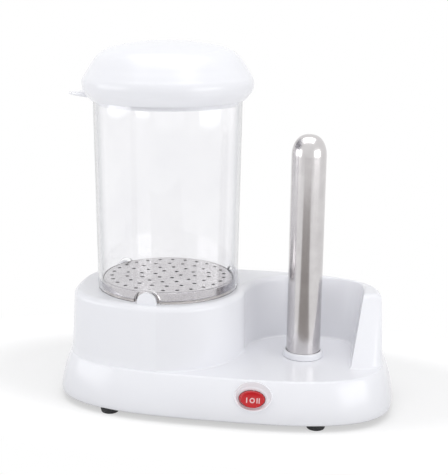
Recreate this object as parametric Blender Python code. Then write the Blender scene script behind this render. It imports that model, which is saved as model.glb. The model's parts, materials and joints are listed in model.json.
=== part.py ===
"""Countertop hot dog cooker: a steam container for sausages beside one heated spike for rolls.

The cooker stands on its feet at z = 0 and its front faces -Y. The origin lies below the
middle of the base. Every length is in metres.
"""

import math

import bmesh
import bpy
from mathutils import Matrix, Vector

# Fits that every piece shares
CLEARANCE = 0.0003
RUNNING_GAP = 0.0006
OVERRUN = 0.003
MERGE_DISTANCE = 0.000005

# Facets of the round pieces
OUTLINE_POINTS = 60
LARGE_ROUND = 40
MEDIUM_ROUND = 24
SMALL_ROUND = 8
HEX_SIDES = 6
SMOOTH_ANGLE = math.radians(35.0)

# Housing, outer shape
SKIN = 0.0025
STANCE = 0.0050
FLOOR_HEIGHT = 0.0390
RIM_HEIGHT = 0.0926
RIM_FILLET = 0.0050
FLARE = 0.0090
WALL_LEAN = 0.0030
PLAN_POWER = 3.0
FLARE_SHARES = ((0.0, 0.12), (0.09, 0.0), (0.41, 0.22), (0.71, 0.52), (0.91, 0.78), (0.985, 0.88),
                (1.0, 1.0))
RIM_FILLET_SHARES = (0.0, 0.35, 0.7, 1.0)

# Container
CONTAINER_RADIUS = 0.0590
CONTAINER_HEIGHT = 0.1591
CONTAINER_WALL = 0.0024
CONTAINER_DRAFT = 0.0020
CONTAINER_EDGE = 0.0006

# Drum round the container's foot, and the tray beside it
LEDGE_WIDTH = 0.0070
DRUM_LEAN = 0.0020
DRUM_TOP_RADIUS = CONTAINER_RADIUS + LEDGE_WIDTH
DRUM_FOOT_RADIUS = DRUM_TOP_RADIUS + DRUM_LEAN
LEFT_STEP = 0.0210
RIGHT_STEP = 0.0330
FRONT_STEP = 0.0100
REAR_STEP = 0.0060
TRAY_WIDTH = 0.0900
BASE_WIDTH = LEFT_STEP + 2 * DRUM_FOOT_RADIUS + TRAY_WIDTH + RIGHT_STEP
BASE_DEPTH = FRONT_STEP + 2 * DRUM_FOOT_RADIUS + REAR_STEP
DRUM_X = -BASE_WIDTH / 2 + LEFT_STEP + DRUM_FOOT_RADIUS
DRUM_Y = -BASE_DEPTH / 2 + FRONT_STEP + DRUM_FOOT_RADIUS
TRAY_LEFT = DRUM_X + DRUM_FOOT_RADIUS
TRAY_RIGHT = TRAY_LEFT + TRAY_WIDTH
TRAY_BACK_STEP = 0.0320
TRAY_BACK = BASE_DEPTH / 2 - TRAY_BACK_STEP
TRAY_WALL_LEAN = 0.0075
TRAY_LEFT_POWER = 2.0
TRAY_RIGHT_POWER = 4.0
TRAY_RIM_STEP = 0.0005
WALL_SLOPE_FOOT = -0.0280
WALL_SLOPE_RUN = 0.0320

# Locating lugs on the ledge and the notches that fit round them
LUG_COUNT = 3
LUG_FIRST_ANGLE = math.radians(-5.0)
LUG_WIDTH = 0.0163
LUG_HEIGHT = 0.0094
LUG_THICKNESS = 0.0038
LUG_GAP = 0.0028
ARCH_POINTS = 12

# Heating dish in the drum's opening
DISH_FLANGE = 0.0054
GASKET_WIDTH = 0.0038
GASKET_HEIGHT = 0.0010
DISH_SHEET = 0.0008
DISH_DEPTH = 0.0152
DISH_CORNER = 0.0040
DISH_UPSTAND = 0.0062

# Perforated rack on the dish
RACK_SHEET = 0.0008
RACK_HEIGHT = 0.0063
RACK_EDGE = 0.0005
RACK_HOLE_SIZE = 0.0036
RACK_HOLE_RING_SHARES = ((0.22, 6), (0.50, 12), (0.78, 18))

# Boiler pieces under the dish
SPREADER_STEP_IN = 0.0100
SPREADER_THICKNESS = 0.0030
STUD_RADIUS = 0.0020
STUD_LENGTH = 0.0205
HEATER_TUBE_RADIUS = 0.0035
HEATER_STEP_IN = 0.0120
HEATER_RING_POINTS = 24
HEATER_END_SPREAD = 0.0060
HEATER_END_LENGTH = 0.0140
THERMOSTAT_RADIUS_SHARE = 0.286
THERMOSTAT_HEIGHT = 0.0080
THERMOSTAT_OFFSET_SHARE = 0.464
FUSE_RADIUS = 0.0020
FUSE_LENGTH = 0.0160
FUSE_ASIDE_SHARE = 0.39286
FUSE_BACK_SHARE = 0.7143
BRACKET_DROP = 0.0140
BRACKET_SHEET = 0.0015
BRACKET_WIDTH = 0.0140
BRACKET_STEP_IN = 0.0100
BRACKET_END = 0.0050
NUT_RADIUS = 0.0040
NUT_HEIGHT = 0.0030

# Screws and their bosses
SCREW_RADIUS = 0.0016
SCREW_HEAD_RADIUS = 0.0031
SCREW_HEAD_HEIGHT = 0.0018
SCREW_LENGTH = 0.0100
BOSS_RADIUS = 0.0042
PILOT_RADIUS = SCREW_RADIUS + CLEARANCE
PILOT_DEPTH = SCREW_LENGTH + 0.5 * SCREW_HEAD_HEIGHT

# Base plate, its posts and its feet
PLATE_THICKNESS = 0.0025
PLATE_GAP = CLEARANCE
BASE_SCREW_SHARES = ((-0.80, -0.56), (0.80, -0.56), (-0.80, 0.56), (0.80, 0.56), (0.02, -0.80),
                     (0.02, 0.80))
FOOT_SHARES = ((-0.62, -0.79), (0.58, -0.79), (-0.62, 0.79), (0.58, 0.79))
FOOT_NAMES = ("foot_front_left", "foot_front_right", "foot_rear_left", "foot_rear_right")
FOOT_RADIUS = 0.0077
FOOT_TREAD_RADIUS = 0.0069
FOOT_NECK_RADIUS = 0.0030
FOOT_HEAD_RADIUS = 0.0042
FOOT_HEAD_HEIGHT = 0.0018
FOOT_CHAMFER = 0.0008

# Lid
LID_BULGE = 0.0090
LID_HEIGHT = 0.0470
LID_WALL = 0.0020
LID_LIP = 0.0014
LID_OVERLAP = 0.0020
LID_SKIRT = 0.0055
LID_SKIRT_WALL = 0.0015
LID_SHELF = 0.0020
LID_OUTER_SHARES = ((0.935, 0.060), (0.975, 0.130), (1.0, 0.270), (0.992, 0.360), (0.955, 0.450),
                    (0.875, 0.640), (0.835, 0.720), (0.775, 0.800), (0.715, 0.852), (0.640, 0.893),
                    (0.450, 0.950), (0.225, 0.988))
TAB_REACH = 0.0137
TAB_WIDTH = 0.0260
TAB_THICKNESS = 0.0028
TAB_HEIGHT_SHARE = 0.030
TAB_ROOT_SHARE = 0.900
TAB_POINTS = 12

# Spike and what holds it
SPIKE_X_SHARE = 0.5375
SPIKE_Y = -0.0030
SPIKE_RADIUS = 0.0140
SPIKE_SHEET = 0.0008
SPIKE_TOP = 0.2250
SPIKE_TIP_LENGTH = 0.0170
SPIKE_TIP_SHARES = ((0.0, 1.0), (0.35, 0.975), (0.62, 0.88), (0.82, 0.70), (0.95, 0.40), (1.0, 0.0))
SPIKE_FLANGE = 0.0030
SPIKE_FLANGE_SHEET = 0.0010
SLEEVE_WALL = 0.0027
SLEEVE_LENGTH = 0.0105
COLLAR_WALL = 0.0022
COLLAR_HEIGHT = 0.0052
COLLAR_CHAMFER = 0.0008
CLAMP_SHEET = 0.0012
CLAMP_REACH = 0.0220
CLAMP_END = 0.0050
CLAMP_HOLE_RADIUS = 0.0080
CORE_RADIUS = 0.0125
CORE_LENGTH = 0.1650

# Switch in the front face, in its own frame: X to the right, Y up the face, Z outward
SWITCH_X_SHARE = 0.1700
SWITCH_HEIGHT = 0.0266
BEZEL_HALF_WIDTH = 0.0155
BEZEL_HALF_HEIGHT = 0.0116
BEZEL_SEAT = 0.0012
BEZEL_PROUD = 0.0012
BEZEL_RIM = 0.0010
BEZEL_SLEEVE_WALL = 0.0014
BEZEL_SLEEVE_DEPTH = 0.0092
BEZEL_DISH = 0.0024
ROCKER_HALF_WIDTH = 0.0106
ROCKER_HALF_HEIGHT = 0.0074
ROCKER_GAP = 0.0008
ROCKER_DEPTH = 0.0060
ROCKER_PROUD = 0.0004
ROCKER_EDGE = 0.0005
PIVOT_DEPTH = 0.0030
PIVOT_RADIUS = 0.0009
OVAL_POINTS = 32
SWITCH_BODY_DEPTH = 0.0110
SWITCH_BODY_INSET = 0.0010
TAB_TERMINAL_NAMES = ("switch_terminal_1", "switch_terminal_2", "switch_terminal_3")
TAB_TERMINAL_LENGTH = 0.0065
TAB_TERMINAL_WIDTH = 0.0048
TAB_TERMINAL_SHEET = 0.0008
TAB_TERMINAL_PITCH = 0.0075

# Cord inlet at the back, terminal block and cord clamp
GLAND_X_SHARE = 0.2900
GLAND_HEIGHT = 0.0220
GLAND_BORE = 0.0038
GLAND_NECK = 0.0055
GLAND_FLANGE = 0.0080
GLAND_FLANGE_HEIGHT = 0.0018
GLAND_SEAT = 0.0010
GLAND_LIP = 0.0012
GLAND_LIP_HEIGHT = 0.0015
BLOCK_LENGTH = 0.0300
BLOCK_WIDTH = 0.0150
BLOCK_HEIGHT = 0.0120
BLOCK_Y_SHARE = 0.3700
BLOCK_WELL_RADIUS = 0.0018
BLOCK_WELL_DEPTH = 0.0040
BLOCK_PITCH = 0.0090
CLAMP_POST_HEIGHT = 0.0070
CLAMP_POST_PITCH = 0.0110
CLAMP_POST_RADIUS = 0.0036
CORD_CLAMP_Y_SHARE = 0.6600
CORD_CLAMP_WIDTH = 0.0080
CORD_CLAMP_SHEET = 0.0025

# Leads
LEAD_RADIUS = 0.0009
LEAD_STRAIGHT = 0.0040
LEAD_POINTS_PER_SPAN = 3
CORE_LEAD_PITCH = 0.0025
THERMOSTAT_LEAD_PITCH = 0.0030
LIVE_ROUTE_SHARES = ((0.221, 0.130, 0.110), (0.186, -0.158, 0.085), (0.177, -0.474, 0.175))
BOILER_ROUTE_SHARES = ((0.186, -0.368, 0.460), (0.057, -0.158, 0.400), (-0.143, 0.184, 0.525),
                       (-0.310, 0.330, 1.090))
SPIKE_ROUTE_SHARES = ((0.314, -0.395, 0.175), (0.407, -0.132, 0.145))
RETURN_ROUTE_SHARES = ((0.471, 0.053, 0.175), (0.386, 0.158, 0.145))
HEATER_ROUTE_SHARES = ((-0.450, 0.605, 1.495), (-0.421, 0.700, 1.550))
NEUTRAL_ROUTE_SHARES = ((-0.271, 0.710, 1.430), (-0.107, 0.632, 0.970), (0.057, 0.474, 0.400))
EARTH_ROUTE_SHARES = ((0.243, 0.105, 0.300), (0.100, 0.039, 0.460), (-0.021, 0.026, 1.020))

# Places worked out from the sizes above
CONTAINER_FOOT = RIM_HEIGHT + CLEARANCE
CONTAINER_TOP = CONTAINER_FOOT + CONTAINER_HEIGHT
CONTAINER_BORE = CONTAINER_RADIUS - CONTAINER_WALL
GASKET_BOTTOM = RIM_HEIGHT + CLEARANCE
FLANGE_BOTTOM = GASKET_BOTTOM + GASKET_HEIGHT + CLEARANCE
FLANGE_TOP = FLANGE_BOTTOM + DISH_SHEET
UPSTAND_RADIUS = CONTAINER_BORE - RUNNING_GAP
LEDGE_OPENING = UPSTAND_RADIUS - DISH_FLANGE
DISH_RADIUS = LEDGE_OPENING - RUNNING_GAP
SPREADER_RADIUS = DISH_RADIUS - SPREADER_STEP_IN
HEATER_RING_RADIUS = SPREADER_RADIUS - HEATER_STEP_IN
THERMOSTAT_RADIUS = HEATER_RING_RADIUS * THERMOSTAT_RADIUS_SHARE
THERMOSTAT_OFFSET = HEATER_RING_RADIUS * THERMOSTAT_OFFSET_SHARE
BRACKET_REACH = DRUM_TOP_RADIUS - BRACKET_STEP_IN
DISH_FLOOR = FLANGE_TOP - DISH_DEPTH
RACK_BOTTOM = FLANGE_TOP + CLEARANCE
RACK_RADIUS = UPSTAND_RADIUS - DISH_SHEET - RUNNING_GAP
SPREADER_TOP = DISH_FLOOR - DISH_SHEET - CLEARANCE
SPREADER_BOTTOM = SPREADER_TOP - SPREADER_THICKNESS
HEATER_HEIGHT = SPREADER_BOTTOM - CLEARANCE - HEATER_TUBE_RADIUS
BRACKET_TOP = SPREADER_BOTTOM - BRACKET_DROP
BRACKET_BOTTOM = BRACKET_TOP - BRACKET_SHEET
LID_BOTTOM = CONTAINER_TOP - LID_OVERLAP
LID_RADIUS = CONTAINER_RADIUS + CONTAINER_DRAFT + LID_BULGE
PLATE_TOP = STANCE + PLATE_THICKNESS
SPIKE_X = TRAY_LEFT + SPIKE_X_SHARE * TRAY_WIDTH
SLEEVE_BOTTOM = FLOOR_HEIGHT - SKIN - SLEEVE_LENGTH
SLEEVE_BORE = SPIKE_RADIUS + CLEARANCE
SPIKE_FLANGE_TOP = SLEEVE_BOTTOM - CLEARANCE
SPIKE_BOTTOM = SPIKE_FLANGE_TOP - SPIKE_FLANGE_SHEET
CLAMP_TOP = SPIKE_BOTTOM - CLEARANCE
CLAMP_BOTTOM = CLAMP_TOP - CLAMP_SHEET
SWITCH_X = TRAY_LEFT + SWITCH_X_SHARE * TRAY_WIDTH
GLAND_X = GLAND_X_SHARE * BASE_WIDTH / 2
BLOCK_Y = BLOCK_Y_SHARE * BASE_DEPTH / 2
CORD_CLAMP_Y = CORD_CLAMP_Y_SHARE * BASE_DEPTH / 2
CLAMP_POST_TOP = PLATE_TOP + CLAMP_POST_HEIGHT
LIFT_AXIS = Vector((0.0, 0.0, 1.0))


# Materials

def material(name, colour, roughness, metallic=0.0, alpha=1.0):
    """Return a Principled material with a plain colour."""
    made = bpy.data.materials.new(name)
    made.use_nodes = True
    shader = made.node_tree.nodes["Principled BSDF"]
    shader.inputs["Base Color"].default_value = (*colour, 1.0)
    shader.inputs["Roughness"].default_value = roughness
    shader.inputs["Metallic"].default_value = metallic
    shader.inputs["Alpha"].default_value = alpha
    return made


# Mesh helpers

def turned(profile, steps, centre=(0.0, 0.0)):
    """Return a bmesh turned from (radius, height) points; a profile off the axis closes on itself."""
    bm = bmesh.new()
    verts = [bm.verts.new((radius, 0.0, height)) for radius, height in profile]
    edges = [bm.edges.new(pair) for pair in zip(verts, verts[1:])]
    if profile[0][0] > MERGE_DISTANCE or profile[-1][0] > MERGE_DISTANCE:
        edges.append(bm.edges.new((verts[-1], verts[0])))
    bmesh.ops.spin(bm, geom=verts + edges, axis=LIFT_AXIS, cent=(0.0, 0.0, 0.0), steps=steps,
                   angle=2 * math.pi, use_merge=True)
    bmesh.ops.remove_doubles(bm, verts=bm.verts, dist=MERGE_DISTANCE)
    bmesh.ops.translate(bm, verts=bm.verts, vec=(centre[0], centre[1], 0.0))
    return bm


def lofted(rings, closed=False):
    """Return a bmesh through rings of equally many points; a closed one joins its last ring to its first."""
    bm = bmesh.new()
    loops = [[bm.verts.new(point) for point in ring] for ring in rings]
    pairs = list(zip(loops, loops[1:]))
    if closed:
        pairs.append((loops[-1], loops[0]))
    else:
        bm.faces.new(reversed(loops[0]))
        bm.faces.new(loops[-1])
    for lower, upper in pairs:
        for i in range(len(lower)):
            j = (i + 1) % len(lower)
            bm.faces.new((lower[i], lower[j], upper[j], upper[i]))
    return bm


def prism(outline, bottom, top):
    """Return a bmesh of an (x, y) outline between two heights."""
    return lofted([[Vector((x, y, height)) for x, y in outline] for height in (bottom, top)])


def box(size, centre):
    """Return a bmesh of a box."""
    bm = bmesh.new()
    bmesh.ops.create_cube(bm, size=1.0, matrix=Matrix.Translation(centre) @ Matrix.Diagonal((*size, 1.0)))
    return bm


def rod(radius, start, end, steps=SMALL_ROUND):
    """Return a bmesh of a round rod between two points."""
    start, end = Vector(start), Vector(end)
    along = end - start
    place = Matrix.Translation((start + end) / 2) @ along.to_track_quat("Z", "Y").to_matrix().to_4x4()
    bm = bmesh.new()
    bmesh.ops.create_cone(bm, cap_ends=True, segments=steps, radius1=radius, radius2=radius,
                          depth=along.length, matrix=place)
    return bm


def joined(meshes):
    """Return one bmesh holding several, for a cutter made of separate bodies."""
    bm = bmesh.new()
    for part in meshes:
        held = bpy.data.meshes.new("held")
        part.to_mesh(held)
        part.free()
        bm.from_mesh(held)
        bpy.data.meshes.remove(held)
    return bm


def add_object(name, bm, finish=None, frame=None):
    """Link a bmesh as an object with its normals facing out and its round faces smooth."""
    bmesh.ops.recalc_face_normals(bm, faces=bm.faces)
    mesh = bpy.data.meshes.new(name)
    bm.to_mesh(mesh)
    bm.free()
    for polygon in mesh.polygons:
        polygon.use_smooth = True
    mesh.set_sharp_from_angle(angle=SMOOTH_ANGLE)
    obj = bpy.data.objects.new(name, mesh)
    bpy.context.collection.objects.link(obj)
    if finish is not None:
        mesh.materials.append(finish)
    if frame is not None:
        obj.parent = frame
    return obj


def add_cutter(name, bm, frame=None):
    """Link a bmesh as a cutter, which is no piece of the cooker."""
    obj = add_object(name, bm, frame=frame)
    obj.hide_render = True
    obj.display_type = "WIRE"
    return obj


def combine(target, other, operation):
    """Join or cut a piece with another object by an exact Boolean."""
    step = target.modifiers.new(other.name, "BOOLEAN")
    step.operation = operation
    step.solver = "EXACT"
    step.object = other


def cut(target, name, bm, frame=None):
    """Cut a bmesh out of a piece."""
    combine(target, add_cutter(name, bm, frame), "DIFFERENCE")


def join(target, name, bm, frame=None):
    """Join a bmesh onto a piece."""
    combine(target, add_cutter(name, bm, frame), "UNION")


def add_frame(name, place, turn):
    """Link an empty that carries pieces in a frame of their own."""
    empty = bpy.data.objects.new(name, None)
    empty.location = place
    empty.rotation_euler = turn
    bpy.context.collection.objects.link(empty)
    return empty


# Outlines of the housing

def share_at(table, height_share):
    """Return the value of a table of (height share, value share) pairs by straight lines."""
    for (low, value_low), (high, value_high) in zip(table, table[1:]):
        if height_share <= high:
            portion = (height_share - low) / (high - low)
            return value_low + portion * (value_high - value_low)
    return table[-1][1]


def body_inset(height):
    """Return how far the housing's side stands in from the base's full size at a height."""
    if height <= FLOOR_HEIGHT:
        return FLARE * share_at(FLARE_SHARES, max(0.0, (height - STANCE) / (FLOOR_HEIGHT - STANCE)))
    return FLARE + WALL_LEAN * (height - FLOOR_HEIGHT) / (RIM_HEIGHT - FLOOR_HEIGHT)


def drum_radius(height):
    """Return the drum's outer radius at a height."""
    rise = max(0.0, (height - FLOOR_HEIGHT) / (RIM_HEIGHT - FLOOR_HEIGHT))
    return DRUM_FOOT_RADIUS - DRUM_LEAN * rise


def drum_reach(x, y, radius):
    """Return the factor that takes a point of the plan out to the drum's circle, at least 1."""
    square = x * x + y * y
    along = x * DRUM_X + y * DRUM_Y
    under_root = along * along - square * (DRUM_X ** 2 + DRUM_Y ** 2 - radius ** 2)
    if under_root <= 0.0:
        return 1.0
    return max(1.0, (along + math.sqrt(under_root)) / square)


def rounded_point(turn, half_width, half_depth, power):
    """Return a point of a rounded rectangle, a superellipse, at a turn round its centre."""
    across, along = math.cos(turn), math.sin(turn)
    x = half_width * math.copysign(abs(across) ** (2 / power), across)
    y = half_depth * math.copysign(abs(along) ** (2 / power), along)
    return x, y


def body_ring(height, inset, radius):
    """Return one level ring of the housing: the rounded base joined with the drum's circle."""
    ring = []
    for step in range(OUTLINE_POINTS):
        turn = 2 * math.pi * (step + 0.5) / OUTLINE_POINTS
        x, y = rounded_point(turn, BASE_WIDTH / 2 - inset, BASE_DEPTH / 2 - inset, PLAN_POWER)
        reach = drum_reach(x, y, radius)
        ring.append(Vector((x * reach, y * reach, height)))
    return ring


def flare_heights():
    """Return the heights at which the plinth's flare bends."""
    return [STANCE + share * (FLOOR_HEIGHT - STANCE) for share, _ in FLARE_SHARES]


def outer_rings():
    """Return the rings of the housing's outside, from its bottom edge to its flat rim."""
    rings = [body_ring(height, body_inset(height), DRUM_FOOT_RADIUS) for height in flare_heights()]
    fillet_foot = RIM_HEIGHT - RIM_FILLET
    for share in RIM_FILLET_SHARES:
        turn = share * math.pi / 2
        height = fillet_foot + RIM_FILLET * math.sin(turn)
        step_in = RIM_FILLET * (1 - math.cos(turn))
        inset = body_inset(fillet_foot) + step_in
        rings.append(body_ring(height, inset, drum_radius(fillet_foot) - step_in))
    return rings


def inner_rings():
    """Return the rings of the space inside the housing, open below and one skin thick elsewhere."""
    bottom = body_ring(STANCE - OVERRUN, body_inset(STANCE) + SKIN, DRUM_FOOT_RADIUS - SKIN)
    rings = [bottom]
    for height in flare_heights()[1:-2]:
        rings.append(body_ring(height, body_inset(height) + SKIN, DRUM_FOOT_RADIUS - SKIN))
    ceiling = RIM_HEIGHT - SKIN
    inset = body_inset(RIM_HEIGHT - RIM_FILLET) + SKIN
    step_in = RIM_FILLET - SKIN
    rings.append(body_ring(ceiling - step_in, inset, drum_radius(ceiling) - SKIN))
    rings.append(body_ring(ceiling, inset + step_in, drum_radius(ceiling) - SKIN - step_in))
    return rings


def tray_ring(height, grown):
    """Return one level ring of the tray's space, grown by a skin where it cuts the inner space."""
    rise = (height - FLOOR_HEIGHT) / (RIM_HEIGHT - FLOOR_HEIGHT)
    lean = TRAY_WALL_LEAN * rise + grown
    middle = (TRAY_LEFT + TRAY_RIGHT) / 2
    half_width = TRAY_WIDTH / 2 + lean
    front = -BASE_DEPTH / 2 - OVERRUN
    ring = [Vector((middle + half_width, front, height))]
    arc_steps = OUTLINE_POINTS // 2
    for step in range(arc_steps + 1):
        turn = math.pi * step / arc_steps
        power = TRAY_LEFT_POWER if 2 * step > arc_steps else TRAY_RIGHT_POWER
        x, y = rounded_point(turn, half_width, TRAY_BACK + lean, power)
        ring.append(Vector((middle + x, y, height)))
    ring.append(Vector((DRUM_X, 0.0, height)))
    ring.append(Vector((DRUM_X, front, height)))
    return ring


def drum_mesh(shrunk):
    """Return the drum as a tapered cylinder that runs past the floor and the rim."""
    low, high = FLOOR_HEIGHT - SKIN - OVERRUN, RIM_HEIGHT + 2 * OVERRUN
    profile = [(0.0, low), (drum_radius(low) - shrunk, low), (drum_radius(high) - shrunk, high), (0.0, high)]
    return turned(profile, LARGE_ROUND + MEDIUM_ROUND, (DRUM_X, DRUM_Y))


def tray_cutter(name, grown):
    """Add the cutter of the tray's space: open to the front and bounded by the drum on its left."""
    heights = (FLOOR_HEIGHT - grown, RIM_HEIGHT + OVERRUN)
    cutter = add_cutter(name, lofted([tray_ring(height, grown) for height in heights]))
    cut(cutter, name + "_drum", drum_mesh(grown))
    return cutter


def slope_mesh(grown):
    """Return the wedge that slopes the right wall's front end down to the plinth."""
    floor = FLOOR_HEIGHT + TRAY_RIM_STEP - grown
    top = RIM_HEIGHT + OVERRUN
    front = -BASE_DEPTH / 2 - OVERRUN
    run = WALL_SLOPE_RUN * (top - floor) / (RIM_HEIGHT - FLOOR_HEIGHT)
    slope_foot = WALL_SLOPE_FOOT + grown
    side = [(front, floor), (slope_foot, floor), (slope_foot + run, top), (front, top)]
    ends = ((TRAY_LEFT + TRAY_RIGHT) / 2, BASE_WIDTH / 2 + OVERRUN)
    return lofted([[Vector((x, y, z)) for y, z in side] for x in ends])


def front_depth(x, height):
    """Return how far the housing's front or back face lies from the middle plane at a place."""
    inset = body_inset(height)
    across = abs(x) / (BASE_WIDTH / 2 - inset)
    return (BASE_DEPTH / 2 - inset) * (1 - across ** PLAN_POWER) ** (1 / PLAN_POWER)


def face_lean(x, height):
    """Return how far the face leans back at a place, as an angle from upright."""
    probe = BEZEL_HALF_HEIGHT / 2
    change = front_depth(x, height - probe) - front_depth(x, height + probe)
    return math.atan2(change, 2 * probe)


# Housing

def boss_places():
    """Return the places of the base plate's screws."""
    return [(BASE_WIDTH / 2 * x, BASE_DEPTH / 2 * y) for x, y in BASE_SCREW_SHARES]


def bracket_boss_places():
    """Return the places of the screws that hold the bracket under the dish."""
    return [(DRUM_X - BRACKET_REACH, DRUM_Y), (DRUM_X + BRACKET_REACH, DRUM_Y)]


def clamp_boss_places():
    """Return the places of the screws that hold the spike's clamp plate."""
    return [(SPIKE_X - CLAMP_REACH, SPIKE_Y), (SPIKE_X + CLAMP_REACH, SPIKE_Y)]


def post_groups():
    """Return the places of the screw posts with the height of what each group carries."""
    return ((boss_places(), PLATE_TOP), (bracket_boss_places(), BRACKET_TOP),
            (clamp_boss_places(), CLAMP_TOP))


def housing_posts():
    """Return the solid posts that the housing's inner space leaves standing."""
    ceiling = RIM_HEIGHT
    posts = []
    for places, bottom in post_groups():
        for x, y in places:
            posts.append(rod(BOSS_RADIUS, (x, y, bottom + CLEARANCE), (x, y, ceiling)))
    foot, head = (SPIKE_X, SPIKE_Y, SLEEVE_BOTTOM), (SPIKE_X, SPIKE_Y, FLOOR_HEIGHT)
    posts.append(rod(SLEEVE_BORE + SLEEVE_WALL, foot, head, MEDIUM_ROUND))
    return posts


def pilot_holes():
    """Return the holes that the screws turn into."""
    holes = []
    for places, bottom in post_groups():
        for x, y in places:
            holes.append(rod(PILOT_RADIUS, (x, y, bottom - OVERRUN), (x, y, bottom + PILOT_DEPTH)))
    return holes


def lug_outline(half_width, height, sunk):
    """Return the (across, up) outline of a half-round lug or notch that starts below its seat."""
    straight = height - half_width
    outline = [(-half_width, -sunk), (half_width, -sunk)]
    for step in range(ARCH_POINTS + 1):
        turn = math.pi * step / ARCH_POINTS
        outline.append((half_width * math.cos(turn), straight + half_width * math.sin(turn)))
    return outline


def lug_mesh(angle, outline, inner, outer, seat):
    """Return a lug or notch shape that stands across a radius of the drum."""
    outward = Vector((math.sin(angle), -math.cos(angle), 0.0))
    across = Vector((math.cos(angle), math.sin(angle), 0.0))
    axis = Vector((DRUM_X, DRUM_Y, seat))
    rings = []
    for reach in (inner, outer):
        rings.append([axis + outward * reach + across * side + LIFT_AXIS * up for side, up in outline])
    return lofted(rings)


def lug_angles():
    """Return the angles of the lugs round the drum, from the front."""
    return [LUG_FIRST_ANGLE + 2 * math.pi * number / LUG_COUNT for number in range(LUG_COUNT)]


def oval(half_width, half_height, depth):
    """Return a level oval ring of the switch."""
    turns = [2 * math.pi * step / OVAL_POINTS for step in range(OVAL_POINTS)]
    return [Vector((half_width * math.cos(turn), half_height * math.sin(turn), depth)) for turn in turns]


def oval_prism(half_width, half_height, low, high):
    """Return an oval block between two depths of the switch's frame."""
    return lofted([oval(half_width, half_height, low), oval(half_width, half_height, high)])


def build_housing(finish, switch_frame, gland_frame):
    """Make the white shell: plinth, drum and tray wall in one moulding, open below."""
    housing = add_object("housing", lofted(outer_rings()), finish)
    combine(housing, tray_cutter("tray_space", 0.0), "DIFFERENCE")
    cut(housing, "wall_slope", slope_mesh(0.0))
    hollow = add_cutter("inner_space", lofted(inner_rings()))
    combine(hollow, tray_cutter("tray_space_grown", SKIN), "DIFFERENCE")
    cut(hollow, "wall_slope_grown", slope_mesh(SKIN))
    for number, post in enumerate(housing_posts()):
        cut(hollow, f"post_{number}", post)
    combine(housing, hollow, "DIFFERENCE")
    outline = lug_outline(LUG_WIDTH / 2, LUG_HEIGHT, SKIN / 2)
    lug_inner = CONTAINER_BORE
    lug_outer = lug_inner + LUG_THICKNESS
    for number, angle in enumerate(lug_angles()):
        join(housing, f"lug_{number}", lug_mesh(angle, outline, lug_inner, lug_outer, RIM_HEIGHT))
    rim_low, rim_high = RIM_HEIGHT - SKIN - OVERRUN, RIM_HEIGHT + OVERRUN
    cut(housing, "drum_opening", rod(LEDGE_OPENING, (DRUM_X, DRUM_Y, rim_low), (DRUM_X, DRUM_Y, rim_high),
                                     LARGE_ROUND))
    cut(housing, "spike_bore", rod(SLEEVE_BORE, (SPIKE_X, SPIKE_Y, SLEEVE_BOTTOM - OVERRUN),
                                   (SPIKE_X, SPIKE_Y, FLOOR_HEIGHT + OVERRUN), LARGE_ROUND))
    for number, hole in enumerate(pilot_holes()):
        cut(housing, f"pilot_{number}", hole)
    cut(housing, "switch_seat", oval_prism(BEZEL_HALF_WIDTH + CLEARANCE, BEZEL_HALF_HEIGHT + CLEARANCE,
                                           -BEZEL_SEAT, OVERRUN), switch_frame)
    sleeve_width, sleeve_height = sleeve_half_sizes()
    cut(housing, "switch_opening", oval_prism(sleeve_width + CLEARANCE, sleeve_height + CLEARANCE,
                                              -BEZEL_SLEEVE_DEPTH, OVERRUN), switch_frame)
    cut(housing, "gland_seat", rod(GLAND_FLANGE + CLEARANCE, (0.0, 0.0, -GLAND_SEAT), (0.0, 0.0, OVERRUN),
                                   MEDIUM_ROUND), gland_frame)
    cut(housing, "gland_opening", rod(GLAND_NECK + CLEARANCE, (0.0, 0.0, -SKIN - OVERRUN),
                                      (0.0, 0.0, OVERRUN), MEDIUM_ROUND), gland_frame)
    return housing


# Base plate, feet and screws

def foot_places():
    """Return the places of the four feet."""
    return [(BASE_WIDTH / 2 * x, BASE_DEPTH / 2 * y) for x, y in FOOT_SHARES]


def clamp_post_places():
    """Return the places of the cord clamp's two posts."""
    return [(GLAND_X - CLAMP_POST_PITCH, CORD_CLAMP_Y), (GLAND_X + CLAMP_POST_PITCH, CORD_CLAMP_Y)]


def build_base_plate(finish):
    """Make the flat plate that closes the housing below, with the posts of the cord clamp."""
    inset = body_inset(STANCE) + SKIN + PLATE_GAP
    rings = [body_ring(height, inset, DRUM_FOOT_RADIUS - SKIN - PLATE_GAP) for height in (STANCE, PLATE_TOP)]
    plate = add_object("base_plate", lofted(rings), finish)
    for number, (x, y) in enumerate(clamp_post_places()):
        join(plate, f"clamp_post_{number}", rod(CLAMP_POST_RADIUS, (x, y, STANCE + PLATE_THICKNESS / 2),
                                                (x, y, CLAMP_POST_TOP)))
        cut(plate, f"clamp_pilot_{number}", rod(PILOT_RADIUS, (x, y, STANCE + PLATE_THICKNESS / 2),
                                                (x, y, CLAMP_POST_TOP + OVERRUN)))
    for number, (x, y) in enumerate(boss_places()):
        cut(plate, f"screw_hole_{number}", rod(PILOT_RADIUS, (x, y, STANCE - OVERRUN),
                                               (x, y, PLATE_TOP + OVERRUN)))
    for number, (x, y) in enumerate(foot_places()):
        cut(plate, f"foot_hole_{number}", rod(FOOT_NECK_RADIUS + CLEARANCE, (x, y, STANCE - OVERRUN),
                                              (x, y, PLATE_TOP + OVERRUN)))
    return plate


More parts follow.
